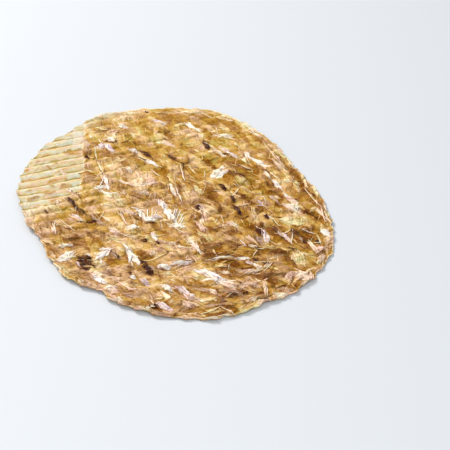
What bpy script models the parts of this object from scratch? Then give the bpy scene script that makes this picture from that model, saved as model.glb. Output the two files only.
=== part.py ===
"""A round sheet of dried filefish: thin fillets laid over each other on a barred rack and dried into one sheet.

Metres, +Z up. X runs along the bars of the drying rack and Y across them. The origin is under the middle
of the sheet, on the surface that it lies on.
"""

import math

import bmesh
import bpy
import numpy as np
from mathutils.geometry import delaunay_2d_cdt

# The sheet as a whole
SHEET_RADIUS = 0.149
SKIN_THICKNESS = 0.0010
# Where the rim swells out (+) or is drawn in (-): the angle it faces in degrees, how far, and over how wide an angle
RIM_SWELLS = (
    (-43, 0.005, 15),
    (4, -0.006, 14),
    (47, 0.007, 16),
    (115, -0.005, 9),
    (154, 0.004, 14),
    (-176, -0.004, 6),
    (-159, 0.003, 5),
    (-145, -0.004, 4),
    (-86, -0.005, 10),
)
RAGGED_DEPTH = 0.0015

# The marks of the rack's bars, which run along X
BAR_PITCH = 0.010
RIDGE_HEIGHT = 0.0014
RIDGE_SHARE_UNDER_FILLETS = 0.55
GROOVE_HEIGHT = 0.0012
TOOTH_DEPTH = 0.0020
ROWS_PER_BAR = 3

# How the drying sheet has lifted: the most at its rim, and the radius inside which it lies flat
RIM_LIFT = 0.0045
FLAT_RADIUS = 0.070

# The fillets on top, which lean across the bars
FILLET_LENGTH = 0.080
FILLET_WIDTH = 0.034
FILLET_STEP = 0.0012
FILLET_EDGE_RUN = 0.002
FILLET_ANGLE = math.radians(-50)
FILLET_SPACING = (0.058, 0.026)
# The stretch near the rim that is one layer thick: its inner corner, the angles that its two edges face, and
# how fast the next layer begins
BARE_CORNER = (-0.084, 0.042)
BARE_EDGE_FACINGS = (math.radians(-24), math.radians(-77))
BARE_EDGE_RUN = 0.004

# Torn flakes that stand up from the fillets
FLAKE_COUNT = 110
FLAKE_LENGTH = (0.016, 0.030)
FLAKE_WIDTH = (0.008, 0.013)
FLAKE_LIFT = (0.0012, 0.0030)

# How fine the solid's own faces are
POINT_SPACING = 0.0068
RIM_POINT_SPACING = 0.0033
RIM_MARGIN = 0.0030

FLESH_COLOUR = (0.60, 0.35, 0.12, 1.0)
FLESH_ROUGHNESS = 0.32
SEED = 7


def bar_phase(y):
    """How far a point lies between one bar's mark and the next, from 0 to 1."""
    return np.mod(y / BAR_PITCH, 1.0)


def rim_radius(angle):
    """The rim's distance from the middle: a circle with its swells, a tooth at each bar, and a torn edge."""
    radius = np.full_like(angle, SHEET_RADIUS)
    for facing, swell, width in RIM_SWELLS:
        away = np.mod(angle - math.radians(facing) + math.pi, 2 * math.pi) - math.pi
        radius += swell * np.exp(-((away / math.radians(width)) ** 2))
    teeth = (bar_phase(radius * np.sin(angle)) - 0.5) * np.abs(np.cos(angle))
    torn = np.sin(23 * angle + 0.7) + np.sin(41 * angle + 2.1) + np.sin(67 * angle + 4.0)
    return radius + TOOTH_DEPTH * teeth + RAGGED_DEPTH / 3 * torn


def lift(x, y):
    """How high the sheet's underside stands off the table: nothing in the middle, waves towards the rim."""
    angle = np.arctan2(y, x)
    waves = 0.7 * np.sin(2 * angle + 0.5) + 0.5 * np.sin(3 * angle - 1.2) + 0.25 * np.sin(5 * angle)
    outwards = np.clip((np.hypot(x, y) - FLAT_RADIUS) / (SHEET_RADIUS - FLAT_RADIUS), 0, None)
    return RIM_LIFT * outwards ** 1.6 * np.clip(waves, 0, None)


def underside(x, y):
    """Height of the lower face: flat strips under the bars' marks, with a groove between each two."""
    groove = np.interp(bar_phase(y), (0, 1 / 3, 2 / 3, 1), (0, 0, 1, 0))
    return lift(x, y) + GROOVE_HEIGHT * groove


def in_leaf(x, y, leaf):
    """Places in a leaf's own terms: along it from -1 to 1, across it from -1 to 1, and how far inside its edge."""
    centre_x, centre_y, angle, length, width = leaf
    dx, dy = x - centre_x, y - centre_y
    along = (dx * math.cos(angle) + dy * math.sin(angle)) / (length / 2)
    across = -dx * math.sin(angle) + dy * math.cos(angle)
    half_width = width / 2 * np.clip(1 - np.abs(along) ** 2.4, 0, None) ** 0.6
    return along, across / np.maximum(half_width, 1e-6), half_width - np.abs(across)


def covered(x, y):
    """1 where fillets lie on the bottom layer, 0 on the stretch of one layer, with a short run between."""
    dx, dy = x - BARE_CORNER[0], y - BARE_CORNER[1]
    first, second = (dx * math.cos(facing) + dy * math.sin(facing) for facing in BARE_EDGE_FACINGS)
    return np.clip(0.5 + np.maximum(first, second) / BARE_EDGE_RUN, 0, 1)


def fillets(rng):
    """The fillets on top: staggered ranks all over the sheet."""
    found = []
    step_along, step_across = FILLET_SPACING
    ranks = range(-6, 7)
    for rank in ranks:
        for place in range(-3, 4):
            along = (place + 0.5 * (rank % 2)) * step_along + rng.uniform(-0.009, 0.009)
            across = rank * step_across + rng.uniform(-0.004, 0.004)
            angle = FILLET_ANGLE + rng.uniform(-0.28, 0.28)
            x = along * math.cos(FILLET_ANGLE) - across * math.sin(FILLET_ANGLE)
            y = along * math.sin(FILLET_ANGLE) + across * math.cos(FILLET_ANGLE)
            if math.hypot(x, y) < 0.86 * SHEET_RADIUS:
                size = rng.uniform(0.85, 1.15)
                found.append((x, y, angle, FILLET_LENGTH * size, FILLET_WIDTH * size))
    return found


def flakes(rng):
    """Torn flakes, spread evenly by a sunflower spiral, each with its own direction, size and lift."""
    found = []
    for i in range(FLAKE_COUNT):
        reach = 0.93 * SHEET_RADIUS * math.sqrt((i + 0.5) / FLAKE_COUNT)
        turn = i * math.pi * (3 - math.sqrt(5))
        angle = FILLET_ANGLE + rng.uniform(-0.6, 0.6)
        size = (rng.uniform(*FLAKE_LENGTH), rng.uniform(*FLAKE_WIDTH))
        leaf = (reach * math.cos(turn), reach * math.sin(turn), angle, *size)
        found.append((leaf, rng.uniform(*FLAKE_LIFT)))
    return found


def topside(x, y):
    """Height of the upper face: the skin over the bars, then the fillets, then the flakes that stand up."""
    rng = np.random.default_rng(SEED)
    layered = covered(x, y)
    ridge = np.interp(bar_phase(y), (0, 2 / 3, 1), (0, 1, 0))
    height = lift(x, y) + SKIN_THICKNESS + RIDGE_HEIGHT * ridge * (1 - layered * (1 - RIDGE_SHARE_UNDER_FILLETS))
    for leaf in fillets(rng):
        _, across, inside = in_leaf(x, y, leaf)
        step = FILLET_STEP * np.clip(inside / FILLET_EDGE_RUN, 0, 1)
        height += layered * step * (0.7 + 0.3 * np.clip(across, -1, 1))
    for leaf, tip in flakes(rng):
        along, _, inside = in_leaf(x, y, leaf)
        height += layered * np.where(inside > 0, tip * np.clip(0.5 + 0.5 * along, 0, 1), 0)
    return height


def rim_points():
    """The rim as points in plan, evenly apart, running anticlockwise."""
    count = round(2 * math.pi * SHEET_RADIUS / RIM_POINT_SPACING)
    angle = np.arange(count) * 2 * math.pi / count
    radius = rim_radius(angle)
    return np.stack([radius * np.cos(angle), radius * np.sin(angle)], axis=1)


def inner_points():
    """Points inside the rim, in rows along the bars."""
    reach = 1.1 * SHEET_RADIUS
    rows = []
    row_step = BAR_PITCH / ROWS_PER_BAR
    for row in range(-round(reach / row_step), round(reach / row_step) + 1):
        x = np.arange(-reach, reach, POINT_SPACING)
        rows.append(np.stack([x, np.full_like(x, row * row_step)], axis=1))
    points = np.concatenate(rows)
    distance = np.hypot(points[:, 0], points[:, 1])
    return points[distance < rim_radius(np.arctan2(points[:, 1], points[:, 0])) - RIM_MARGIN]


def centre_in_plan(sheet):
    """Moves the sheet so that the origin is the middle of its box, seen from above."""
    places = np.array([corner.co[:2] for corner in sheet.verts])
    middle = (places.min(axis=0) + places.max(axis=0)) / 2
    bmesh.ops.translate(sheet, verts=list(sheet.verts), vec=(-middle[0], -middle[1], 0))


def flat_sheet():
    """The sheet in plan, cut into triangles: a bmesh of flat faces at height 0."""
    rim = rim_points()
    points = np.concatenate([rim, inner_points()])
    triangulated = delaunay_2d_cdt([tuple(p) for p in points.tolist()], [], [list(range(len(rim)))], 1, 1e-7)
    sheet = bmesh.new()
    corners = [sheet.verts.new((x, y, 0)) for x, y in triangulated[0]]
    for face in triangulated[2]:
        sheet.faces.new([corners[i] for i in face])
    return sheet


def thicken(sheet):
    """Gives the flat sheet its upper and lower faces and the wall between them at the rim."""
    lower = list(sheet.verts)
    made = bmesh.ops.extrude_face_region(sheet, geom=list(sheet.faces), use_keep_orig=True)
    upper = [piece for piece in made["geom"] if isinstance(piece, bmesh.types.BMVert)]
    for corners, surface in ((lower, underside), (upper, topside)):
        places = np.array([corner.co[:2] for corner in corners])
        heights = surface(places[:, 0], places[:, 1])
        for corner, height in zip(corners, heights):
            corner.co.z = height
    bmesh.ops.recalc_face_normals(sheet, faces=list(sheet.faces))


def flesh_material():
    """Amber, sugar-glazed flesh."""
    material = bpy.data.materials.new("dried_flesh")
    material.use_nodes = True
    shader = material.node_tree.nodes["Principled BSDF"]
    shader.inputs["Base Color"].default_value = FLESH_COLOUR
    shader.inputs["Roughness"].default_value = FLESH_ROUGHNESS
    shader.inputs["Metallic"].default_value = 0.0
    return material


def build():
    for leftover in list(bpy.data.objects):
        bpy.data.objects.remove(leftover)
    sheet = flat_sheet()
    thicken(sheet)
    centre_in_plan(sheet)
    mesh = bpy.data.meshes.new("dried_filefish_sheet")
    sheet.to_mesh(mesh)
    sheet.free()
    mesh.materials.append(flesh_material())
    part = bpy.data.objects.new("dried_filefish_sheet", mesh)
    bpy.context.scene.collection.objects.link(part)


build()
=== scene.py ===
# %% [markdown]
# # A round sheet of dried filefish
#
# The real sheet is a handful of thin fillets that were laid over each other on a rack of thin bars, brushed
# with a sweet glaze, and dried until they were one crisp, half see-through sheet. Four things make its looks:
# the order in which torn scraps lie over each other, the marks of the bars, the fibres of the muscle, and the
# gloss of the glaze. This lesson makes them in that order, as numpy arrays.

# %% Load the solid model and keep its box
import math

import bpy
import numpy as np
from mathutils import Matrix, Vector


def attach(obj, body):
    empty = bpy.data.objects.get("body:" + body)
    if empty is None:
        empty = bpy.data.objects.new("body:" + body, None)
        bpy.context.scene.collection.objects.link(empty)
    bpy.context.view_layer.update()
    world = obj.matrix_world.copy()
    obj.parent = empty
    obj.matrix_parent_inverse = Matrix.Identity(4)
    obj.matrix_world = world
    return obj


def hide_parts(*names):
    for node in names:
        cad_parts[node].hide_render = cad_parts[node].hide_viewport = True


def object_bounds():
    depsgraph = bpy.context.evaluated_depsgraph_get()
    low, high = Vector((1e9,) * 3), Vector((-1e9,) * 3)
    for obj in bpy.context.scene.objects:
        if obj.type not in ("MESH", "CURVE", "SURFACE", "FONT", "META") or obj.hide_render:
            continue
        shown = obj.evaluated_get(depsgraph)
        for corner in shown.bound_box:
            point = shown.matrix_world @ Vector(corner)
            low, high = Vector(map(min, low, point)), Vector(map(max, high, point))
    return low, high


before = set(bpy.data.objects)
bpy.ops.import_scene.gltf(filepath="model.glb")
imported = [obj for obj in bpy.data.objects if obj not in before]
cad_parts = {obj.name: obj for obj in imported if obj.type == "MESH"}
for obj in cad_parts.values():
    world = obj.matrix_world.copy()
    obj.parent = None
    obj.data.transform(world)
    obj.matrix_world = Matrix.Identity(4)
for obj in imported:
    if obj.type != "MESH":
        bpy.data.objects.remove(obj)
cad_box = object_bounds()
SHEET_NODE = "dried_filefish_sheet"
TABLE_TO_TOP = cad_box[1][2]
print("The solid's box in mm:", np.round(1000 * np.array(cad_box), 1).tolist())

# %% [markdown]
# ## The sheet's outline and its big relief
#
# The solid model already has the rim, the waves that lift it off the table, the bars' ridges, the fillets and
# the larger flakes. The dressed sheet has to be the same thing, so its functions repeat the solid's own
# formulas, with the same seed and the same order of draws. "Plan" below means seen from above, in metres from
# the middle of the round outline.

# %% The solid's measures
SHEET_RADIUS = 0.149
SKIN_THICKNESS = 0.0010
RIM_SWELLS = (
    (-43, 0.005, 15),
    (4, -0.006, 14),
    (47, 0.007, 16),
    (115, -0.005, 9),
    (154, 0.004, 14),
    (-176, -0.004, 6),
    (-159, 0.003, 5),
    (-145, -0.004, 4),
    (-86, -0.005, 10),
)
RAGGED_DEPTH = 0.0015
BAR_PITCH = 0.010
RIDGE_HEIGHT = 0.0014
RIDGE_SHARE_UNDER_FILLETS = 0.55
GROOVE_HEIGHT = 0.0012
TOOTH_DEPTH = 0.0020
RIM_LIFT = 0.0045
FLAT_RADIUS = 0.070
FILLET_LENGTH = 0.080
FILLET_WIDTH = 0.034
FILLET_STEP = 0.0012
FILLET_ANGLE = math.radians(-50)
FILLET_SPACING = (0.058, 0.026)
FILLET_RANKS, FILLETS_IN_RANK = range(-6, 7), range(-3, 4)
FILLET_JITTER = (0.009, 0.004)
FILLET_TURN = 0.28
FILLET_SIZES = (0.85, 1.15)
FILLET_REACH = 0.86
BARE_CORNER = (-0.084, 0.042)
BARE_EDGE_FACINGS = (math.radians(-24), math.radians(-77))
FLAKE_COUNT = 110
FLAKE_LENGTH = (0.016, 0.030)
FLAKE_WIDTH = (0.008, 0.013)
FLAKE_LIFT = (0.0012, 0.0030)
FLAKE_TURN = 0.6
FLAKE_REACH = 0.93
SOLID_SEED = 7
SOLID_RIM_STEP = 0.0033
print("The bars' pitch in mm:", 1000 * BAR_PITCH)


# %% Curves and steps that everything below uses
def bell(distance, width):
    """A bell curve: 1 at no distance, about a third at one width, next to nothing at two."""
    return np.exp(-((distance / width) ** 2))


def progress(value, start, end):
    """How far a value has come on the way from start to end, held between 0 and 1."""
    return np.clip((value - start) / (end - start), 0, 1)


def rounded(share):
    """A straight ramp from 0 to 1, made round at both ends."""
    return share * share * (3 - 2 * share)


def pressed(values, knee, room):
    """The values, with all that is above the knee pressed softly into the room over it."""
    return np.minimum(values, knee) + room * np.tanh(np.clip(values - knee, 0, None) / room)


def round_mm(metres):
    """A length in millimetres with two decimals, for printing."""
    return round(1000 * float(metres), 2)


def half_turn(angle):
    """The same direction, as an angle from minus half a turn to plus half a turn."""
    return np.mod(angle + math.pi, 2 * math.pi) - math.pi


def step_off(x, y, angle, ahead, aside):
    """The place that lies so far ahead of x, y in a direction, and so far to its left."""
    cos, sin = np.cos(angle), np.sin(angle)
    return x + ahead * cos - aside * sin, y + ahead * sin + aside * cos


print("A bell curve at no width, one and two:", np.round(bell(np.arange(3), 1), 2).tolist())


# %% The outline
def bar_phase(y):
    """How far a point lies between one bar's mark and the next, from 0 to 1."""
    return np.mod(y / BAR_PITCH, 1.0)


def smooth_rim(angle):
    """The rim's radius without its teeth: a circle plus one bell curve for each swell."""
    radius = np.full_like(angle, SHEET_RADIUS)
    for facing, swell, width in RIM_SWELLS:
        radius += swell * bell(half_turn(angle - math.radians(facing)), math.radians(width))
    return radius


def full_rim(angle):
    """The rim's radius: the smooth rim plus a sawtooth at each bar and three sines for the torn edge."""
    radius = smooth_rim(angle)
    teeth = (bar_phase(radius * np.sin(angle)) - 0.5) * np.abs(np.cos(angle))
    torn = np.sin(23 * angle + 0.7) + np.sin(41 * angle + 2.1) + np.sin(67 * angle + 4.0)
    return radius + TOOTH_DEPTH * teeth + RAGGED_DEPTH / 3 * torn


def rim_middle():
    """The middle of the solid rim's box, which the solid puts over the origin."""
    count = round(2 * math.pi * SHEET_RADIUS / SOLID_RIM_STEP)
    angle = np.arange(count) * 2 * math.pi / count
    radius = full_rim(angle)
    places = np.stack([radius * np.cos(angle), radius * np.sin(angle)])
    return (places.min(axis=1) + places.max(axis=1)) / 2


PLAN_MIDDLE = rim_middle()
print("The outline's box middle, in mm from the round middle:", np.round(1000 * PLAN_MIDDLE, 2).tolist())

# %% [markdown]
# ## The camera
#
# The camera comes early, because the scraps that stand out in the photograph are placed through it: a pixel
# is a direction, and where that direction meets the sheet is the scrap's place. The sheet's round outline
# gave the camera: a circle seen at a slant is an ellipse, and its tilt and flatness give roll and elevation.

# %% Place the camera
PIXELS = 450
FOCAL_MM = 70.0
SENSOR_MM = 36.0
ELEVATION = math.radians(41.7)
ROLL = math.radians(13.9)
HEADING = math.radians(51.5)
CAMERA_RIGHTWARDS, CAMERA_FORWARDS, CAMERA_HEIGHT = 0.048, -0.640, 0.556
FOCAL_PIXELS = FOCAL_MM / SENSOR_MM * PIXELS
MEAN_HEIGHT = 0.0035

level_right = np.array([math.sin(HEADING), -math.cos(HEADING), 0.0])
level_forward = np.array([math.cos(HEADING), math.sin(HEADING), 0.0])
straight_up = np.array([0.0, 0.0, 1.0])
look = level_forward * math.cos(ELEVATION) - straight_up * math.sin(ELEVATION)
upright = level_forward * math.sin(ELEVATION) + straight_up * math.cos(ELEVATION)
picture_right = math.cos(ROLL) * level_right + math.sin(ROLL) * upright
picture_up = -math.sin(ROLL) * level_right + math.cos(ROLL) * upright
eye = level_right * CAMERA_RIGHTWARDS + level_forward * CAMERA_FORWARDS + straight_up * CAMERA_HEIGHT


def frame_place(plan):
    """Plan places, of any shape (..., 2 or 3), as places in the row's frame."""
    moved = np.array(plan, dtype=float)
    moved[..., :2] -= PLAN_MIDDLE
    return moved


def aim_camera():
    """A camera at the eye, with its axes along the picture's right, up and backwards directions."""
    data = bpy.data.cameras.new("photo_camera")
    data.lens = FOCAL_MM
    data.sensor_width = SENSOR_MM
    data.clip_start = 0.01
    camera = bpy.data.objects.new("photo_camera", data)
    bpy.context.scene.collection.objects.link(camera)
    axes = Matrix((picture_right, picture_up, -look)).transposed()
    camera.matrix_world = Matrix.Translation(Vector(frame_place(eye))) @ axes.to_4x4()
    bpy.context.scene.camera = camera


def on_sheet(pixel_x, pixel_y):
    """The plan place that a pixel shows: the ray through it, cut with the sheet's mean height."""
    ray = look * FOCAL_PIXELS + picture_right * (pixel_x - PIXELS / 2) - picture_up * (pixel_y - PIXELS / 2)
    return (eye + ray * (MEAN_HEIGHT - eye[2]) / ray[2])[:2]


def rightwards(x, y):
    """How far a plan place lies to the right in the picture, in metres from the middle."""
    return x * level_right[0] + y * level_right[1]


def nearwards(x, y):
    """How far a plan place lies towards the viewer, in metres from the middle."""
    return -(x * level_forward[0] + y * level_forward[1])


aim_camera()
print("The picture's middle shows plan place, in mm:", np.round(1000 * on_sheet(225, 225), 1).tolist())

# %% [markdown]
# ## A grid that becomes a disc
#
# A polar grid crowds its points at the middle. A square grid bent into a disc doesn't: each square ring of
# the grid becomes a round ring, so all cells keep the same area. The upper face needs cells of half a
# millimetre, because the torn edges are that fine. The lower face can have cells four times as wide, and
# every fourth point of the fine rim then meets one point of the coarse rim, so a wall of triangles closes
# the sheet.

# %% Bend a square grid into the outline
TOP_CELLS = 560
FINER = 4
BOTTOM_CELLS = TOP_CELLS // FINER
# The higher this power of the radius, the nearer to the rim its teeth stay
TEETH_POWER = 14


def disc_grid(cells):
    """Unit-disc radius and angle of a square grid: the ring gives r, the place along the ring gives angle."""
    line = np.linspace(-1, 1, cells + 1)
    u, v = np.meshgrid(line, line, indexing="ij")
    sideways = np.abs(u) >= np.abs(v)
    main = np.where(sideways, u, v)
    other = np.where(sideways, v, -u)
    safe = np.where(main == 0, 1, main)
    quarter = np.where(sideways, np.where(u >= 0, 0, 2), np.where(v >= 0, 1, 3))
    angle = quarter * math.pi / 2 + math.pi / 4 * other / safe
    return np.abs(main), angle


def plan_grid(cells):
    """Plan places of the grid: unit radius times the smooth rim, with the teeth only near the edge."""
    radius, angle = disc_grid(cells)
    smooth = smooth_rim(angle)
    reach = radius * smooth + (full_rim(angle) - smooth) * radius**TEETH_POWER
    return np.stack([reach * np.cos(angle), reach * np.sin(angle)], axis=-1)


top_plan = plan_grid(TOP_CELLS)
bottom_plan = plan_grid(BOTTOM_CELLS)
print("Points on the upper and lower face:", top_plan[..., 0].size, bottom_plan[..., 0].size)

# %% [markdown]
# ## The big relief, point by point
#
# The same heights as in the solid, only finer: where the solid has straight facets over a bar, the real
# sheet sagged into a soft wave while it was wet, so the ridge here is a rounded one.

# %% Heights of the two faces
# How fast the next layer begins: faster than in the solid, whose faces are too coarse for so sharp an edge
BARE_EDGE_RUN = 0.0016


def lift(x, y):
    """Height off the table: three waves round the rim, growing outwards from the flat middle."""
    angle = np.arctan2(y, x)
    waves = 0.7 * np.sin(2 * angle + 0.5) + 0.5 * np.sin(3 * angle - 1.2) + 0.25 * np.sin(5 * angle)
    outwards = np.clip((np.hypot(x, y) - FLAT_RADIUS) / (SHEET_RADIUS - FLAT_RADIUS), 0, None)
    return RIM_LIFT * outwards**1.6 * np.clip(waves, 0, None)


def underside(x, y):
    """Lower face: flat strips where the bars were, with a rounded groove between each two."""
    groove = np.interp(bar_phase(y), (0, 1 / 3, 2 / 3, 1), (0, 0, 1, 0))
    return lift(x, y) + GROOVE_HEIGHT * rounded(groove)


def past_bare_edge(x, y):
    """How far a place lies beyond the two straight, slightly torn edges of the one-layer stretch."""
    dx, dy = x - BARE_CORNER[0], y - BARE_CORNER[1]
    first, second = (dx * math.cos(facing) + dy * math.sin(facing) for facing in BARE_EDGE_FACINGS)
    wander = 0.0012 * np.sin(130 * y + 1.0) + 0.0008 * np.sin(310 * x + 290 * y)
    return np.maximum(first, second) + wander


def covered(x, y):
    """1 where fillets lie on the bottom layer, 0 on the stretch of one layer."""
    return np.clip(0.5 + past_bare_edge(x, y) / BARE_EDGE_RUN, 0, 1)


def ridge_wave(y):
    """The ridge over each bar, from 0 to 1 and back."""
    return rounded(np.interp(bar_phase(y), (0, 2 / 3, 1), (0, 1, 0)))


def solid_leaves():
    """The solid's fillets and flakes, drawn in its own order: (x, y, angle, length, width) and a height."""
    rng = np.random.default_rng(SOLID_SEED)
    step_along, step_across = FILLET_SPACING
    jitter_along, jitter_across = FILLET_JITTER
    fillets = []
    for rank in FILLET_RANKS:
        for place in FILLETS_IN_RANK:
            along = (place + 0.5 * (rank % 2)) * step_along + rng.uniform(-jitter_along, jitter_along)
            across = rank * step_across + rng.uniform(-jitter_across, jitter_across)
            angle = FILLET_ANGLE + rng.uniform(-FILLET_TURN, FILLET_TURN)
            x, y = step_off(0, 0, FILLET_ANGLE, along, across)
            if math.hypot(x, y) < FILLET_REACH * SHEET_RADIUS:
                size = rng.uniform(*FILLET_SIZES)
                fillets.append(((x, y, angle, FILLET_LENGTH * size, FILLET_WIDTH * size), FILLET_STEP))
    flakes = []
    for i in range(FLAKE_COUNT):
        reach = FLAKE_REACH * SHEET_RADIUS * math.sqrt((i + 0.5) / FLAKE_COUNT)
        turn = i * math.pi * (3 - math.sqrt(5))
        angle = FILLET_ANGLE + rng.uniform(-FLAKE_TURN, FLAKE_TURN)
        size = (rng.uniform(*FLAKE_LENGTH), rng.uniform(*FLAKE_WIDTH))
        flakes.append(((*step_off(0, 0, turn, reach, 0), angle, *size), rng.uniform(*FLAKE_LIFT)))
    return fillets, flakes


solid_fillets, solid_flakes = solid_leaves()
print("Fillets and flakes taken over from the solid:", len(solid_fillets), len(solid_flakes))

# %% [markdown]
# ## Scraps laid over each other
#
# Seen close, the sheet is a patchwork: each torn scrap has its own thickness, its own tone and its own run of
# fibres, and hides part of what was laid before it. So the surface is kept as a few numbers at each point,
# and every scrap is laid over them in turn, the way they were laid on the rack. The numbers are: depth (how
# deep the amber is, with painted shade and painted highlights in it too), hue (pink above 0, green below),
# membrane (white connective skin, and the painted highlight on the raised edges of scraps), stain (dark skin
# and blood, and painted shadow lines between scraps on the right), crease (the painted shadow beside a
# scrap's edge), grain (the direction of the fibres), thin (one layer only), bar (the rack's mark, with
# painted shade in and behind its valleys) and height.


# %% Lay one scrap over a field of points
class Field:
    """What is known at each point of a face: its place, its height and the numbers that colour it."""

    def __init__(self, plan, height):
        self.x, self.y = plan[..., 0].ravel(), plan[..., 1].ravel()
        self.order = np.argsort(self.x)
        self.sorted_x = self.x[self.order]
        self.height = height.ravel().copy()
        self.depth = np.full(self.x.size, 0.5)
        for label in ("hue", "membrane", "stain_and_shade", "crease", "thin", "bar"):
            setattr(self, label, np.zeros(self.x.size))
        self.grain = np.full(self.x.size, FILLET_ANGLE)

    def near(self, x, y, reach):
        """Indices of the points in a square round a place: a slice of those sorted by x, then a test on y."""
        first, last = np.searchsorted(self.sorted_x, (x - reach, x + reach))
        band = self.order[first:last]
        return band[np.abs(self.y[band] - y) < reach]


RIB_PITCH = 0.0026
# The painted highlight on a scrap's raised edge: its width, and how much white film it adds
LIP_HIGHLIGHT_WIDTH = 0.00055
LIP_HIGHLIGHT_FILM = 0.30
# The higher this power, the blunter a scrap's tips
LEAF_POWER = 2.4
# The share of a scrap's width that curls up, the run of the painted shadow beside it, and how much of that
# painted shadow the raised side has
CURL_SHARE = 0.22
CREASE_SHADE_RUN = 0.0014
RAISED_SIDE_SHADE = 0.25
LAY_MARGIN = 0.002


def torn_edge(along, side, wobble):
    """How ragged a scrap's outline is: one plus three sines along it, out of step with each other."""
    return (1 + 0.20 * np.sin(5 * along + wobble) + 0.12 * np.sin(13 * along + 2 * wobble + 2 * side)
            + 0.06 * np.sin(29 * along + 3 * wobble + side))


def lay(field, leaf, thickness, depth=None, hue=None, membrane=None, stain_and_shade=None, curl=0.0, tilt=0.0, ribs=0.0,
        cover=0.9, fade=0.0, edge=0.0007, wobble=0.0, shadow=0.7, side_shade=0.12, lip_highlight=0.45, taper=0.0, point=0.6):
    """Lays one scrap: along runs from -1 to 1 on its length, and its half width shrinks to 0 at both tips.

    Half width = width / 2 * (1 - |along|^2.4)^point * (1 + taper * along), times its torn edge. Inside it the
    numbers are mixed with the scrap's own, fading towards one tip, with painted shade that makes one side
    deeper and the other paler, and a painted highlight that makes the raised side's edge pale. The height
    grows by the thickness, a tilt along it, a curled-up side and a sine of ribs across it. Just outside it, on
    its lower side, a painted shadow is set.
    """
    x, y, angle, length, width = leaf
    near = field.near(x, y, length / 2 + LAY_MARGIN)
    if near.size == 0:
        return
    dx, dy = field.x[near] - x, field.y[near] - y
    along = (dx * math.cos(angle) + dy * math.sin(angle)) / (length / 2)
    across = -dx * math.sin(angle) + dy * math.cos(angle)
    shape = np.clip(1 - np.abs(along) ** LEAF_POWER, 0, None) ** point * (1 + taper * along)
    half = width / 2 * shape * torn_edge(along, np.sign(across), wobble)
    inside = np.where(np.abs(along) < 1, half - np.abs(across), -1.0)
    over = np.clip(inside / edge, 0, 1)
    side = np.clip(across / np.maximum(half, 1e-5), -1, 1)
    within = np.clip(inside, 0, None)
    raised = side > 0
    # Painted highlight: the raised side's edge is made paler and whiter, as if it caught the light
    lip_highlight_film = lip_highlight * np.exp(-within / LIP_HIGHLIGHT_WIDTH) * raised
    ribbed = ribs * np.sin(across * 2 * math.pi / RIB_PITCH + 2 * along + wobble)
    lifted = curl * np.exp(-within / (CURL_SHARE * width)) * raised
    field.height[near] += over * (thickness + tilt * (0.5 + 0.5 * along) + lifted + ribbed)
    blend = over * cover * (1 - fade * np.clip(0.5 + 0.5 * along, 0, 1))
    own = {"hue": hue, "membrane": membrane, "stain_and_shade": stain_and_shade}
    if depth is not None:
        # Painted shade across the scrap, one side deeper and the other paler, less the painted highlight at the
        # edge
        own["depth"] = depth + side_shade * side - lip_highlight_film
    for label, value in own.items():
        if value is not None:
            number = getattr(field, label)
            number[near] += (value - number[near]) * blend
    field.membrane[near] += LIP_HIGHLIGHT_FILM * over * lip_highlight_film
    # Painted shadow just outside the scrap's edge, weaker on the raised side
    beside = progress(inside, -CREASE_SHADE_RUN, 0) * (inside < 0) * np.where(raised, RAISED_SIDE_SHADE, 1)
    field.crease[near] = np.maximum(field.crease[near] * (1 - blend), shadow * beside)
    field.grain[near] = np.where(over > 0.5, angle, field.grain[near])


print("Ribs across a fillet, mm apart:", 1000 * RIB_PITCH)

# %% [markdown]
# ### The scraps that the photograph shows
#
# Many scraps stand out: white skins that shine, lilac and cream films, purple-brown bits of dark skin, pale
# threads. Each is a line from one pixel to another and a width in millimetres, so the script turns it into a
# place on the sheet. The kinds differ in four numbers: depth, hue, membrane and stain.

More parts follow.
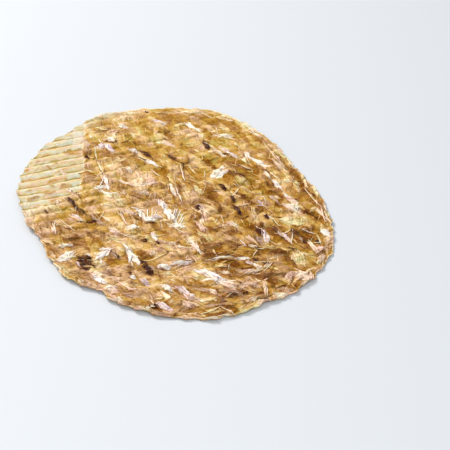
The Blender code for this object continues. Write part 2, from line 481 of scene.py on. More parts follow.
# %% Scraps by their pixels: from x, y to x, y, and the width
TONES = ("depth", "hue", "membrane", "stain_and_shade")
KINDS = {
    "green": (0.16, -0.9, 0.22, 0.0),
    "cream": (0.10, 0.5, 0.26, 0.0),
    "amber": (0.64, 1.3, 0.0, 0.0),
    "brown": (0.84, 0.2, 0.0, 0.08),
    "mauve": (0.42, 0.8, 0.34, 0.10),
    "dark": (0.95, 0.4, 0.0, 1.0),
    "lilac": (0.05, 0.9, 0.85, 0.0),
    "white": (0.06, -0.25, 1.0, 0.0),
}
SEEN_SCRAPS = {
    "green": (
        (112, 192, 120, 199, 6), (195, 185, 202, 195, 7), (116, 200, 124, 206, 7), (279, 218, 303, 225, 8),
        (284, 179, 292, 182, 4), (293, 180, 300, 184, 4), (264, 172, 270, 180, 4.5), (293, 252, 307, 264, 13),
        (170, 183, 175, 194, 5), (48, 206, 62, 214, 7), (55, 222, 70, 230, 6), (114, 162, 130, 160, 6),
        (64, 272, 76, 270, 6), (150, 270, 172, 273, 5), (212, 283, 224, 290, 5), (98, 296, 112, 300, 5),
        (60, 236, 72, 240, 4), (236, 176, 250, 186, 6), (256, 246, 284, 248, 4), (196, 232, 214, 240, 7),
        (252, 208, 258, 222, 5), (104, 236, 122, 240, 6), (144, 236, 154, 244, 4),
    ),
    "cream": (
        (108, 228, 119, 234, 7), (103, 288, 119, 290, 7), (131, 309, 153, 311, 6), (113, 306, 121, 309, 4),
        (115, 299, 123, 303, 6), (78, 279, 84, 285, 5), (87, 283, 91, 286, 4), (138, 194, 149, 193, 5),
        (190, 243, 201, 253, 6), (161, 286, 176, 289, 5), (296, 272, 316, 280, 10), (220, 281, 239, 289, 8),
        (281, 205, 302, 212, 7), (283, 195, 300, 210, 5), (315, 207, 330, 223, 2.6), (308, 240, 316, 252, 4),
        (316, 250, 327, 246, 4), (235, 271, 262, 273, 4), (262, 270, 272, 262, 2.5), (247, 245, 259, 247, 3),
        (212, 136, 234, 137, 6), (212, 148, 228, 159, 3), (60, 168, 66, 175, 3), (52, 226, 55, 236, 4),
        (125, 168, 132, 174, 5), (137, 186, 160, 183, 5), (54, 200, 60, 206, 4), (116, 179, 134, 186, 4),
        (226, 222, 239, 227, 6), (205, 288, 220, 296, 5), (180, 302, 196, 306, 5), (237, 287, 262, 281, 4),
        (149, 252, 158, 255, 5), (196, 222, 206, 232, 4), (160, 142, 176, 147, 5), (264, 283, 268, 300, 4),
        (257, 303, 269, 299, 6), (286, 280, 294, 272, 6), (311, 270, 314, 284, 4), (297, 279, 308, 272, 5),
        (270, 296, 292, 292, 5), (247, 301, 260, 296, 4), (253, 272, 262, 268, 3), (320, 262, 324, 252, 4),
        (219, 271, 232, 274, 4), (108, 300, 120, 303, 4), (300, 284, 312, 281, 3),
    ),
    "amber": (
        (255, 199, 264, 206, 7), (94, 232, 111, 236, 5), (54, 261, 64, 262, 6), (126, 268, 134, 270, 6),
        (129, 282, 132, 284, 4), (157, 249, 163, 251, 5), (178, 232, 192, 236, 5), (80, 273, 90, 274, 4),
        (84, 150, 92, 152, 7), (83, 164, 95, 170, 8), (86, 178, 96, 183, 8), (99, 152, 106, 158, 6),
        (201, 258, 218, 256, 11), (204, 246, 222, 244, 7), (172, 246, 188, 250, 5), (225, 243, 240, 246, 7),
        (182, 172, 190, 178, 5), (272, 262, 290, 268, 8), (266, 276, 290, 272, 5), (236, 164, 250, 170, 6),
        (152, 246, 164, 248, 4), (158, 242, 163, 250, 3), (262, 200, 270, 207, 6), (200, 250, 214, 249, 4),
        (232, 272, 244, 276, 4), (283, 266, 290, 270, 4), (50, 192, 58, 196, 4), (248, 284, 256, 288, 4),
    ),
    "brown": (
        (300, 211, 315, 214, 5), (270, 227, 278, 236, 8), (85, 247, 91, 252, 4), (128, 245, 133, 251, 2),
        (291, 229, 293, 234, 2), (298, 234, 313, 239, 1.4), (302, 230, 316, 234, 1.2),
        (178, 183, 183, 202, 3), (163, 201, 173, 204, 3.5), (225, 170, 246, 177, 5), (240, 251, 262, 254, 3),
        (205, 314, 229, 312, 4), (120, 141, 152, 145, 1.6), (66, 240, 80, 238, 4), (86, 232, 94, 240, 3),
        (260, 222, 266, 230, 4), (240, 217, 252, 214, 3), (206, 226, 220, 232, 3), (150, 225, 166, 232, 2.4),
        (206, 303, 222, 307, 4), (226, 306, 238, 309, 3),
    ),
    "mauve": (
        (182, 297, 206, 300, 5), (204, 306, 232, 303, 4), (222, 290, 246, 295, 6), (194, 288, 212, 291, 5),
        (208, 299, 228, 300, 4), (158, 240, 176, 246, 4), (256, 236, 266, 246, 5), (108, 252, 120, 260, 5),
        (196, 204, 206, 212, 5), (90, 216, 104, 226, 5), (268, 196, 280, 206, 4), (244, 282, 262, 288, 4),
        (120, 292, 140, 298, 4), (146, 310, 172, 316, 4), (176, 316, 204, 319, 3), (100, 270, 116, 274, 4),
    ),
    "dark": (
        (79, 258, 92, 261, 8), (80, 265, 94, 267, 9), (83, 259, 90, 268, 7), (140, 261, 146, 268, 7),
        (145, 266, 152, 275, 6.5), (203, 143, 209, 150, 6), (218, 184, 226, 190, 5.5),
        (230, 196, 235, 202, 4), (234, 205, 241, 213, 5.5), (257, 229, 263, 236, 5.5),
        (252, 258, 258, 262, 4), (68, 199, 75, 206, 5), (74, 206, 86, 216, 5), (84, 224, 97, 221, 3),
        (141, 239, 147, 241, 4), (195, 206, 200, 209, 3.5), (139, 149, 153, 158, 4), (103, 141, 116, 144, 2),
        (167, 155, 177, 161, 4), (155, 242, 159, 245, 3), (264, 215, 269, 219, 3.5),
        (303, 240, 307, 243, 3.5), (315, 239, 320, 243, 3), (297, 209, 299, 210, 2), (110, 252, 111, 255, 2),
        (116, 255, 119, 259, 2.5), (129, 272, 131, 275, 2.5), (153, 304, 157, 307, 3), (44, 211, 48, 215, 2),
        (182, 160, 185, 172, 2), (120, 211, 123, 216, 1.6), (84, 156, 90, 159, 3), (145, 111, 148, 113, 3.5),
        (144, 222, 158, 224, 1.4), (222, 153, 230, 157, 1.6), (113, 141, 118, 144, 2.4),
        (242, 293, 249, 292, 2), (262, 265, 270, 264, 1.4), (276, 287, 288, 285, 1.4),
        (222, 257, 236, 256, 1.4), (292, 229, 292, 236, 2), (251, 249, 262, 248, 1.6),
        (286, 247, 296, 250, 1.2), (226, 294, 238, 295, 1.4),
    ),
    "lilac": (
        (96, 147, 106, 145, 6), (105, 145, 113, 152, 6), (152, 218, 162, 218, 4), (159, 200, 167, 212, 5.5),
        (152, 233, 158, 243, 5), (153, 120, 165, 124, 4), (262, 228, 268, 242, 6), (273, 181, 281, 188, 6),
        (176, 286, 193, 296, 6), (178, 265, 193, 262, 3.4), (222, 149, 237, 158, 4),
        (246, 262, 262, 268, 3.2), (141, 279, 149, 285, 5), (257, 201, 263, 204, 3), (157, 303, 172, 309, 6),
        (104, 138, 116, 141, 3), (72, 214, 84, 222, 4), (278, 232, 291, 240, 4), (66, 188, 74, 192, 3),
        (84, 255, 92, 258, 2), (76, 261, 80, 266, 2.4),
    ),
    "white": (
        (182, 123, 200, 131, 5), (128, 151, 139, 153, 5), (146, 160, 158, 167, 4.5), (94, 188, 107, 186, 5),
        (104, 177, 109, 189, 4), (97, 190, 113, 195, 2.2), (137, 209, 146, 219, 5.5), (144, 219, 155, 220, 6),
        (165, 210, 174, 221, 7), (170, 226, 184, 227, 6), (127, 230, 140, 227, 5.5), (169, 184, 176, 196, 3),
        (196, 270, 228, 283, 7), (157, 265, 170, 267, 6), (170, 265, 192, 261, 3), (59, 261, 75, 253, 7),
        (95, 261, 110, 251, 6), (99, 250, 110, 252, 3.5), (124, 247, 139, 264, 7), (93, 276, 106, 283, 6),
        (212, 176, 226, 170, 10), (248, 157, 266, 167, 4.5), (322, 229, 331, 236, 7),
        (235, 258, 251, 260, 3.2), (244, 153, 249, 157, 5), (58, 247, 73, 246, 2.8), (186, 239, 201, 254, 3),
        (205, 322, 222, 321, 5), (283, 194, 292, 200, 4), (129, 277, 136, 279, 3.5), (161, 287, 172, 291, 5),
        (295, 207, 299, 210, 2.6), (118, 126, 128, 127, 4), (210, 258, 236, 258, 2.6),
        (264, 172, 270, 179, 3),
    ),
}
PALE_THREADS = (
    (262, 213, 274, 220), (272, 217, 281, 227), (235, 206, 251, 204), (231, 197, 240, 187),
    (240, 187, 256, 195), (95, 144, 97, 162), (97, 162, 104, 176), (120, 211, 127, 228), (281, 233, 293, 245),
    (284, 194, 302, 213), (220, 306, 237, 315), (185, 321, 237, 315), (263, 273, 273, 262),
    (253, 262, 273, 262), (253, 256, 258, 250), (166, 222, 186, 236), (186, 236, 196, 250),
    (303, 186, 324, 210), (324, 210, 332, 224), (174, 182, 183, 204), (180, 164, 185, 182),
    (58, 220, 76, 233), (140, 262, 166, 254), (200, 313, 222, 306), (52, 224, 56, 236), (279, 236, 291, 230),
    (292, 230, 291, 244), (310, 240, 320, 254), (203, 208, 206, 222), (190, 206, 204, 216),
    (203, 143, 222, 155), (240, 122, 262, 142), (262, 142, 288, 170), (196, 205, 212, 216),
    (117, 211, 126, 224), (308, 238, 316, 253), (316, 253, 327, 245), (313, 243, 323, 240),
    (300, 228, 317, 233), (317, 233, 321, 243), (181, 300, 202, 306), (128, 246, 134, 252),
    (246, 273, 264, 269), (150, 168, 160, 176),
)
WHITE_STRANDS = (
    (148, 219, 148, 208), (151, 219, 152, 209), (154, 218, 157, 211), (174, 219, 178, 208),
    (176, 221, 181, 210), (178, 223, 183, 213), (180, 225, 185, 216), (138, 209, 146, 212),
    (96, 190, 104, 176), (104, 191, 113, 194), (112, 193, 119, 196), (240, 239, 246, 247),
    (160, 200, 169, 206), (131, 207, 140, 208), (172, 218, 175, 209), (104, 288, 118, 287),
)
# Patches of a second layer on the one-layer stretch
AMBER_SCRAPS = (
    (63, 152, 76, 149, 8.5), (74, 150, 84, 147, 6), (60, 187, 72, 183, 8.5), (40, 193, 56, 190, 7),
    (26, 201, 40, 196, 4.5), (46, 164, 54, 170, 4), (50, 158, 58, 163, 3.5), (22, 182, 32, 179, 3.5),
    (52, 146, 60, 143, 3), (78, 143, 92, 138, 7), (92, 134, 110, 128, 8), (58, 176, 68, 178, 3),
    (48, 184, 56, 186, 4), (33, 214, 46, 211, 4), (24, 192, 32, 190, 3),
)


def leaf_between(start_x, start_y, end_x, end_y, width_mm):
    """A scrap from one pixel to another, as (x, y, angle, length, width) in plan and metres."""
    first, last = on_sheet(start_x, start_y), on_sheet(end_x, end_y)
    run = last - first
    middle = (first + last) / 2
    width = 0.001 * width_mm
    return (*middle, math.atan2(run[1], run[0]), max(np.hypot(*run), width), width)


print("Scraps placed by hand:", {kind: len(scraps) for kind, scraps in SEEN_SCRAPS.items()})

# %% [markdown]
# ### The scraps between them
#
# Between those lie over a thousand that nobody could name. They follow rules: most lean the way the fillets
# lean, long ones are narrow, and two in five are pale. The rules and a seeded random generator make them, so
# every run gives the same sheet. A scrap that stands out is never one smooth leaf: it tore
# into shreds as it dried, so it is laid as a few narrow leaves side by side on a soft bed.

# %% Where scraps lie, and which way
LOOK_SEED = 23
# The fibres' direction in degrees: usually, how much steeper at the right, and along the near rim
USUAL_RUN, RIGHT_STEEPER, NEAR_RIM_RUN = -80, 16, -34


def run_of_fibres(x, y):
    """The usual direction of the top scraps: across the fillets, steeper rightwards, along the near rim."""
    near_rim = progress(-y - 0.3 * x, 0.040, 0.090)
    across = np.radians(USUAL_RUN - RIGHT_STEEPER * progress(rightwards(x, y), 0, 0.13))
    return across * (1 - near_rim) + math.radians(NEAR_RIM_RUN) * near_rim


def scattered(rng, count, calmer=0.0):
    """Plan places spread evenly inside the rim: radius by the square root of a uniform draw.

    Towards the far side a share of them, up to calmer, is left out, because the sheet is smoother there.
    """
    turn = rng.uniform(-math.pi, math.pi, count)
    reach = smooth_rim(turn) * np.sqrt(rng.uniform(0, 0.995, count))
    x, y = reach * np.cos(turn), reach * np.sin(turn)
    kept = rng.random(count) >= calmer * progress(nearwards(x, y), 0.045, -0.105)
    return x[kept], y[kept]


print("The fibres' direction in the middle, in degrees:", round(math.degrees(run_of_fibres(0, 0))))

# %% The looks of each group of scraps
SCRAP_COUNT = 560
VEIL_COUNT = 200
STREAK_COUNT = 520
RIM_CURL_COUNT = 110
THREAD_BED_MM = 1.5
# What lay takes for each group: a number, or the range that the number is drawn from
FILLET_LOOK = {
    "depth": (0.40, 0.66), "hue": (-0.6, 0.6), "cover": 0.75, "edge": 0.0014, "ribs": 0.00012,
    "wobble": (0, 6),
}
FLAKE_LOOK = {
    "depth": (0.35, 0.72), "hue": (-0.6, 0.8), "cover": 0.4, "fade": 0.5, "edge": 0.0020, "wobble": (0, 6),
    "lip_highlight": 0.2, "shadow": 0.4,
}
VEIL_LOOK = {
    "thickness": 0.0002, "depth": (0.12, 0.30), "hue": (-0.9, 0.9), "membrane": (0.0, 0.12),
    "cover": (0.35, 0.75), "fade": 0.6, "curl": 0.0004, "wobble": (0, 6), "taper": (-0.5, 0.5),
}
SCRAP_LOOK = {
    "thickness": (-0.0002, 0.0003), "hue": (-1, 1), "curl": (0, 0.0004), "ribs": (0, 0.00012),
    "cover": (0.4, 0.95), "fade": (0.2, 1.0), "wobble": (0, 6), "shadow": (0.1, 0.7), "taper": (-0.7, 0.7),
    "lip_highlight": (0.1, 0.5), "edge": (0.0006, 0.0022),
}
RIM_CURL_LOOK = {
    "thickness": 0.0003, "depth": (0.05, 0.35), "hue": (-0.8, 0.8), "curl": 0.0008, "membrane": (0.0, 0.30),
    "cover": (0.5, 0.9), "fade": (0, 0.6), "wobble": (0, 6), "taper": (-0.7, 0.7), "shadow": 0.9,
}
BED_LOOK = {"thickness": 0.0001, "edge": 0.0022, "cover": 0.6, "wobble": (0, 6), "shadow": 0.3}
BODY_LOOK = {
    "thickness": 0.0003, "curl": 0.0003, "cover": 1.0, "wobble": (0, 6), "taper": (-0.7, 0.7), "shadow": 1.0,
    "point": 1.0,
}
SHRED_LOOK = {
    "thickness": 0.0002, "curl": (0.0002, 0.0006), "edge": 0.0005, "cover": 0.95, "fade": (0, 0.4),
    "taper": (-0.8, 0.8), "wobble": (0, 6), "shadow": (0.4, 0.9), "point": (0.9, 1.6),
}
THREAD_BED_LOOK = {
    "thickness": 0.0003, "depth": 0.0, "membrane": 0.25, "edge": 0.0006, "lip_highlight": 0.0, "shadow": 1.0,
}
PATCH_LOOK = {
    "thickness": 0.0004, "depth": (0.62, 0.85), "hue": (0, 0.6), "membrane": 0.1, "cover": 0.85,
    "edge": 0.0010, "wobble": (0, 6), "taper": (-0.5, 0.5),
}
UNDERSIDE_FILLET_LOOK = {
    "thickness": 0, "depth": (0.35, 0.7), "hue": (-0.5, 0.5), "cover": 0.8, "edge": 0.003, "wobble": (0, 6),
}
UNDERSIDE_SCRAP_LOOK = {
    "thickness": 0, "depth": (0.1, 0.85), "hue": (-1, 1), "cover": 0.7, "edge": 0.002, "wobble": (0, 6),
}


def drawn(rng, look):
    """A look with each range replaced by a number drawn from it, in the order of the table."""
    return {name: rng.uniform(*value) if isinstance(value, tuple) else value for name, value in look.items()}


one_veil = drawn(np.random.default_rng(LOOK_SEED), VEIL_LOOK)
print("The numbers of one veil:", {name: round(value, 4) for name, value in one_veil.items()})

# %% Lay everything on the upper face


def lay_shreds(field, leaf, kind, rng):
    """A scrap that stands out: a soft-edged bed, a leaf, and narrow shreds side by side that lean about."""
    x, y, angle, length, width = leaf
    depth, hue, membrane, stain_and_shade = KINDS[kind]
    if membrane > 0.5 or stain_and_shade > 0.5:
        length, width = 1.2 * length, 0.92 * width
    bed = (x, y, angle + rng.uniform(-0.3, 0.3), length * 1.2, width * 1.1)
    lay(field, bed, depth=depth, hue=hue, membrane=0.25 * membrane, stain_and_shade=0.3 * stain_and_shade, **drawn(rng, BED_LOOK))
    body = (x, y, angle, length, width)
    lay(field, body, depth=depth, hue=hue, membrane=membrane, stain_and_shade=stain_and_shade, **drawn(rng, BODY_LOOK))
    shreds = 2 + round(width / 0.0024)
    for k in range(shreds):
        aside = width * ((k + 0.5) / shreds - 0.5)
        place = step_off(x, y, angle, length * rng.uniform(-0.3, 0.3), aside)
        lean = angle + rng.normal(0, 0.28)
        shred = (*place, lean, length * rng.uniform(0.5, 1.1), width * rng.uniform(0.15, 0.38))
        lay(field, shred, depth=depth, membrane=membrane * rng.uniform(0.7, 1.0),
            stain_and_shade=stain_and_shade * rng.uniform(0.7, 1.0), hue=hue + rng.uniform(-0.5, 0.5), **drawn(rng, SHRED_LOOK))


def lay_solid_leaves(field, rng):
    """The solid's own fillets and flakes, each with a tone."""
    for leaf, step in solid_fillets:
        lay(field, leaf, step, **drawn(rng, FILLET_LOOK))
    for leaf, tip in solid_flakes:
        lay(field, leaf, 0, tilt=0.7 * tip, **drawn(rng, FLAKE_LOOK))
    field.grain = run_of_fibres(field.x, field.y)


def lay_veils(field, rng):
    """Broad, thin, pale scraps that fade to one side."""
    for x, y in zip(*scattered(rng, VEIL_COUNT)):
        angle = run_of_fibres(x, y) + rng.normal(0, 0.5)
        leaf = (x, y, angle, rng.uniform(0.016, 0.040), rng.uniform(0.006, 0.014))
        lay(field, leaf, **drawn(rng, VEIL_LOOK))


def lay_scraps(field, rng):
    """The common scraps, pale or deep, a few of them white or dark skin."""
    for x, y in zip(*scattered(rng, SCRAP_COUNT, 0.45)):
        angle = run_of_fibres(x, y) + rng.normal(0, 0.55) + math.pi * rng.integers(0, 2)
        length = rng.uniform(0.010, 0.050) * (1 - 0.4 * rng.random())
        leaf = (x, y, angle, length, length * rng.uniform(0.16, 0.42))
        pale = rng.random()
        depth = rng.uniform(0.05, 0.32) if pale < 0.40 else rng.uniform(0.44, 0.94)
        lay(field, leaf, depth=depth, membrane=0.5 * (pale < 0.05), stain_and_shade=0.35 * (pale > 0.98),
            **drawn(rng, SCRAP_LOOK))


def lay_streaks(field, rng):
    """Narrow streaks: pale threads of muscle and dark ones, which to the right are darkened further with dark
    skin colour as painted shadow lines between scraps.
    """
    for x, y in zip(*scattered(rng, STREAK_COUNT, 0.7)):
        angle = run_of_fibres(x, y) + rng.normal(0, 0.6)
        leaf = (x, y, angle, rng.uniform(0.005, 0.024), rng.uniform(0.0008, 0.0018))
        pale = rng.random() < 0.58
        # To the right the dark streaks are painted shadow lines between scraps, in dark skin colour
        lay(field, leaf, rng.uniform(-0.0001, 0.0004), depth=0.04 if pale else 0.95, cover=0.8, hue=0.2,
            stain_and_shade=0.0 if pale else max(0.0, rightwards(x, y) / 0.16) * rng.random(), edge=0.0005,
            wobble=rng.uniform(0, 6), lip_highlight=0.0, point=rng.uniform(0.6, 1.4))


def lay_rim_curls(field, rng):
    """Pale scraps along the rim, curled up on their inner side."""
    turns = rng.uniform(-math.pi, math.pi, RIM_CURL_COUNT)
    for turn, gap in zip(turns, rng.uniform(0.001, 0.009, RIM_CURL_COUNT)):
        reach = float(smooth_rim(np.array([turn]))[0]) - gap
        leaf = (*step_off(0, 0, turn, reach, 0), turn - math.pi / 2 + rng.normal(0, 0.2),
                rng.uniform(0.009, 0.026), rng.uniform(0.0020, 0.0045))
        lay(field, leaf, **drawn(rng, RIM_CURL_LOOK))


def lay_seen_scraps(field, rng):
    """The scraps and the threads that the photograph shows, kind by kind."""
    for kind, scraps in SEEN_SCRAPS.items():
        for scrap in scraps:
            lay_shreds(field, leaf_between(*scrap), kind, rng)
    for thread in PALE_THREADS:
        lay(field, leaf_between(*thread, THREAD_BED_MM), **THREAD_BED_LOOK)


def dress_top(field, layered):
    """Lays everything on the upper face in the order of the layers; the one-layer stretch stays low."""
    rng = np.random.default_rng(LOOK_SEED)
    bare_height = field.height.copy()
    for lay_group in (lay_solid_leaves, lay_veils, lay_scraps, lay_streaks, lay_rim_curls, lay_seen_scraps):
        lay_group(field, rng)
    field.height = bare_height + (field.height - bare_height) * layered


def patch_bare_stretch(field, layered):
    """Lays the patches of a second layer on the thin stretch, after which it is less thin there.

    A scrap changes how thin the flesh is just as it changes the membrane, so thin takes its place meanwhile.
    """
    rng = np.random.default_rng(LOOK_SEED + 4)
    kept, field.membrane = field.membrane, 1 - layered
    for scrap in AMBER_SCRAPS:
        lay(field, leaf_between(*scrap), **drawn(rng, PATCH_LOOK))
    field.thin, field.membrane = field.membrane, kept


top = Field(top_plan, lift(top_plan[..., 0], top_plan[..., 1]) + SKIN_THICKNESS)
layered = covered(top.x, top.y)
dress_top(top, layered)
patch_bare_stretch(top, layered)
print("The upper face lies between, in mm:", round_mm(top.height.min()), round_mm(top.height.max()))

# %% [markdown]
# ### The marks of the bars, the rim, and how the depth drifts
#
# On the stretch of one layer nothing hides the bars' marks: pale, glassy bands with an olive line in each
# valley, partly the rack's mark and partly painted shade, and a painted shade on the slope behind it. Under
# the fillets they swell the surface and stripe it faintly. The rim dried first and curled; at it lie a pale
# edge line, a painted shade line behind it, and a paler margin. Over the whole sheet the flesh gets deeper in
# tone to the right, and darker and pinker towards the near side.

# %% Add the marks of the bars
# Widths of the valley line, partly painted shade, and strength and run of the painted shade behind it
BAR_LINE_AHEAD, BAR_LINE_BEHIND = 0.12, 0.08
BAR_SHADE, BAR_SHADE_RUN = 0.42, 0.28
# Going in under the fillets, marks fade over this run: the share lost at once, and the share lost at its end
BAR_FADE_RUN = 0.055
BAR_LOSS, BAR_LATER_LOSS = 0.15, 0.40
STRIPE_DEPTH, STRIPE_LATER_LOSS = 0.24, 0.75


def wavy_phase(x, y):
    """The place between two bars, with the small waves in which the wet flesh settled on them."""
    return bar_phase(y + 0.0005 * np.sin(x * 90) + 0.0003 * np.sin(x * 410 + y * 130))


def mark_bars(field, layered):
    """A ridge over each bar, a dark line in each valley, partly painted shade, with a painted shade on the
    slope behind it, and stripes of depth.
    """
    ridge = ridge_wave(field.y)
    field.height += RIDGE_HEIGHT * (1 - layered * (1 - RIDGE_SHARE_UNDER_FILLETS)) * ridge
    phase = wavy_phase(field.x, field.y)
    # The valley line is partly painted shade; the soft shade on the slope behind it is painted shade
    line = np.clip(bell(phase, BAR_LINE_AHEAD) + bell(1 - phase, BAR_LINE_BEHIND), 0, 1)
    further_in = np.clip(past_bare_edge(field.x, field.y) / BAR_FADE_RUN, 0, 1)
    shade = BAR_SHADE * np.exp(-phase / BAR_SHADE_RUN)
    field.bar = (line + shade) * (1 - layered * (BAR_LOSS + BAR_LATER_LOSS * further_in))
    field.depth += STRIPE_DEPTH * layered * (1 - STRIPE_LATER_LOSS * further_in) * (0.5 - ridge)


mark_bars(top, layered)
print("Highest ridge in mm:", round_mm(top.height.max()))

# %% Shift the tone of whole regions
# Where the whole flesh is deeper (+) or paler (-): pixel, radius in millimetres, change of depth. They were set
# after this picture and the photograph were compared region by region, some in cells of 24 pixels
TONE_ZONES = (
    (218, 250, 18, 0.05), (254, 250, 16, 0.24), (165, 204, 12, 0.10), (220, 304, 12, 0.06),
    (78, 244, 18, -0.12), (303, 262, 14, -0.10), (192, 219, 14, -0.04), (150, 300, 14, 0.14),
    (92, 186, 14, -0.14), (112, 222, 22, -0.10), (180, 253, 18, -0.22), (278, 272, 14, -0.14),
    (234, 176, 16, 0.18), (269, 238, 12, 0.16), (190, 291, 14, -0.14), (60, 202, 12, 0.20),
    (222, 208, 13, -0.12), (291, 278, 14, -0.30), (117, 264, 10, -0.26), (135, 116, 14, -0.34),
    (52, 236, 12, 0.34), (220, 120, 16, 0.12), (278, 168, 14, 0.10), (319, 240, 12, 0.20),
    (156, 252, 13, -0.14), (132, 228, 12, -0.10), (180, 228, 12, -0.12), (204, 204, 12, -0.14),
    (276, 204, 12, -0.10), (108, 180, 12, -0.10), (156, 180, 13, -0.14), (276, 180, 12, -0.08),
    (180, 156, 13, -0.12), (132, 132, 12, -0.10), (178, 300, 12, -0.10), (121, 291, 11, 0.14),
    (106, 276, 10, 0.10), (134, 276, 12, 0.14), (202, 228, 10, 0.08), (68, 253, 8, -0.12),
    (252, 296, 10, 0.08), (276, 228, 10, 0.10), (162, 132, 10, 0.08), (206, 252, 12, 0.04),
    (84, 268, 16, 0.06), (110, 274, 14, 0.08), (250, 250, 10, 0.12), (46, 180, 14, 0.04),
)


def shift_tones(field):
    """Adds each zone's change of depth, as a bell round its place."""
    for pixel_x, pixel_y, radius_mm, change in TONE_ZONES:
        x, y = on_sheet(pixel_x, pixel_y)
        field.depth += change * bell(np.hypot(field.x - x, field.y - y), 0.001 * radius_mm)


shift_tones(top)
print("Zones, and how many of them are deeper:", len(TONE_ZONES), sum(zone[3] > 0 for zone in TONE_ZONES))

# %% Thin the left side and dress the rim
THIN_LEFT_SHARE, THIN_LEFT_RUN = 0.6, 0.016
PALE_LEFT_DEPTH, PALE_LEFT_RUN = 0.16, 0.020
RIM_LIP, RIM_LIP_DEPTH = 0.0007, 0.55
RIM_MARGIN, RIM_MARGIN_DEPTH = 0.009, 0.22
# The painted shade line behind the rim's edge: how far in it lies, its width and its strength
RIM_SHADE_GAP, RIM_SHADE_WIDTH, RIM_SHADE = 0.0022, 0.0007, 0.8
FAR_MARGIN = 0.012
# The angles in radians at which the thin margin of the far rim starts, is full, starts to end and has ended
FAR_RIM_ANGLES = (1.35, 1.65, 2.65, 2.75)


def thin_left_side(field, layered):
    """Beside the one-layer stretch, towards the left rim, the fillets are thin and pale too."""
    past = past_bare_edge(field.x, field.y)
    leftmost = progress(field.x, -0.088, -0.108)
    field.thin += THIN_LEFT_SHARE * layered * leftmost * progress(past, THIN_LEFT_RUN, 0)
    field.depth -= PALE_LEFT_DEPTH * progress(field.x, -0.070, -0.100) * progress(past, PALE_LEFT_RUN, 0)


def dress_rim(field):
    """A pale edge line, a painted shade line behind it and a torn, paler margin, thin and glassy on the far
    side;
    where the flesh is thin, painted shade along the rim's teeth.
    """
    angle = np.arctan2(field.y, field.x)
    gap = full_rim(angle) - np.hypot(field.x, field.y)
    torn = 0.5 + 0.5 * np.sin(37 * angle + 1.3) * np.sin(61 * angle)
    field.depth -= RIM_LIP_DEPTH * bell(gap, RIM_LIP) + RIM_MARGIN_DEPTH * torn * progress(gap, RIM_MARGIN, 0)
    # Painted shade line behind the rim's pale edge
    line = torn * bell(gap - RIM_SHADE_GAP, RIM_SHADE_WIDTH)
    field.crease = np.maximum(field.crease, RIM_SHADE * line)
    start, full, ending, end = FAR_RIM_ANGLES
    far_rim = progress(angle, start, full) * progress(angle, end, ending)
    field.thin += far_rim * np.clip(1.4 - gap / FAR_MARGIN, 0, 1) * (0.4 + 0.6 * torn)
    field.thin = np.clip(field.thin, 0, 1)
    # Where the flesh is thin, painted shade along the edges of the rim's teeth, in the bars' olive
    field.bar += 0.8 * field.thin * bell(gap - 0.0006, RIM_LIP) * (1 - wavy_phase(field.x, field.y))
    field.crease *= 1 - 0.6 * field.thin


thin_left_side(top, layered)
dress_rim(top)
print("Share of the upper face that is thin:", round(float((top.thin > 0.5).mean()), 3))

# %% Let the tones drift, and keep below the solid's top
MEAN_DEPTH = 0.56
# Contrast and depth grow to the right
RIGHT_CONTRAST, RIGHT_DEPTH = 0.30, 0.12
# The deepest amber that a point can have, and the room below it into which deeper tones are pressed
DEEPEST, DEEP_ROOM = 0.88, 0.20
NEAR_RUN, FAR_RUN = 0.09, 0.08
NEAR_HUE, NEAR_DEPTH, NEAR_PALE_LOSS, NEAR_FILM_LOSS = 0.36, 0.09, 0.45, 0.75
# Towards the far side the tone deepens a little and the painted shadows beside edges weaken
FAR_DEPTH, FAR_SHADE_LOSS = 0.025, 0.45
# How far below the solid's top heights start to be pressed, and the room that they keep
TOP_KNEE, TOP_ROOM = 0.0026, 0.0023


def drift(field):
    """Deeper and in stronger contrast to the right, deeper and pinker to the near side, calmer to the far."""
    right, near_by = rightwards(field.x, field.y), nearwards(field.x, field.y)
    contrast = 1 + RIGHT_CONTRAST * np.clip(right / 0.12, -0.3, 1)
    field.depth = MEAN_DEPTH + (field.depth - 0.5) * contrast + RIGHT_DEPTH * np.clip(right / 0.10, -0.5, 1.2)
    field.depth = pressed(field.depth, DEEPEST - DEEP_ROOM, DEEP_ROOM)
    field.hue += NEAR_HUE * np.clip(near_by / NEAR_RUN, -0.2, 1)
    near, far = progress(near_by, 0, NEAR_RUN), progress(near_by, 0, -FAR_RUN)
    field.crease *= 1 - FAR_SHADE_LOSS * far
    too_pale = np.clip(0.30 - field.depth, 0, None)
    field.depth += FAR_DEPTH * far + near * (NEAR_DEPTH + NEAR_PALE_LOSS * too_pale)
    field.membrane *= 1 - NEAR_FILM_LOSS * near * np.clip(1 - field.membrane, 0, 1)


drift(top)
top.height = pressed(top.height, TABLE_TO_TOP - TOP_KNEE, TOP_ROOM)
print("The pressed upper face's top in mm:", round_mm(top.height.max()), "of", round_mm(TABLE_TO_TOP))

# %% Dress the lower face
BOTTOM_SCRAPS = 500


def dress_bottom(field):
    """The side that lay on the rack: calm amber, with fillets' tones and the bars' marks."""
    rng = np.random.default_rng(LOOK_SEED + 1)
    kept = field.height.copy()
    for leaf, _ in solid_fillets:
        lay(field, leaf, **drawn(rng, UNDERSIDE_FILLET_LOOK))
    for x, y in zip(*scattered(rng, BOTTOM_SCRAPS)):
        length = rng.uniform(0.010, 0.035)
        leaf = (x, y, run_of_fibres(x, y) + rng.normal(0, 0.4), length, length * rng.uniform(0.15, 0.4))
        lay(field, leaf, **drawn(rng, UNDERSIDE_SCRAP_LOOK))
    field.height = kept
    field.bar = 0.7 * bell(bar_phase(field.y) - 1 / 6, 0.17)
    field.thin = 0.8 * (1 - covered(field.x, field.y))


bottom = Field(bottom_plan, underside(bottom_plan[..., 0], bottom_plan[..., 1]))
dress_bottom(bottom)
print("Lower face's depth of amber, mean:", round(float(bottom.depth.mean()), 2))

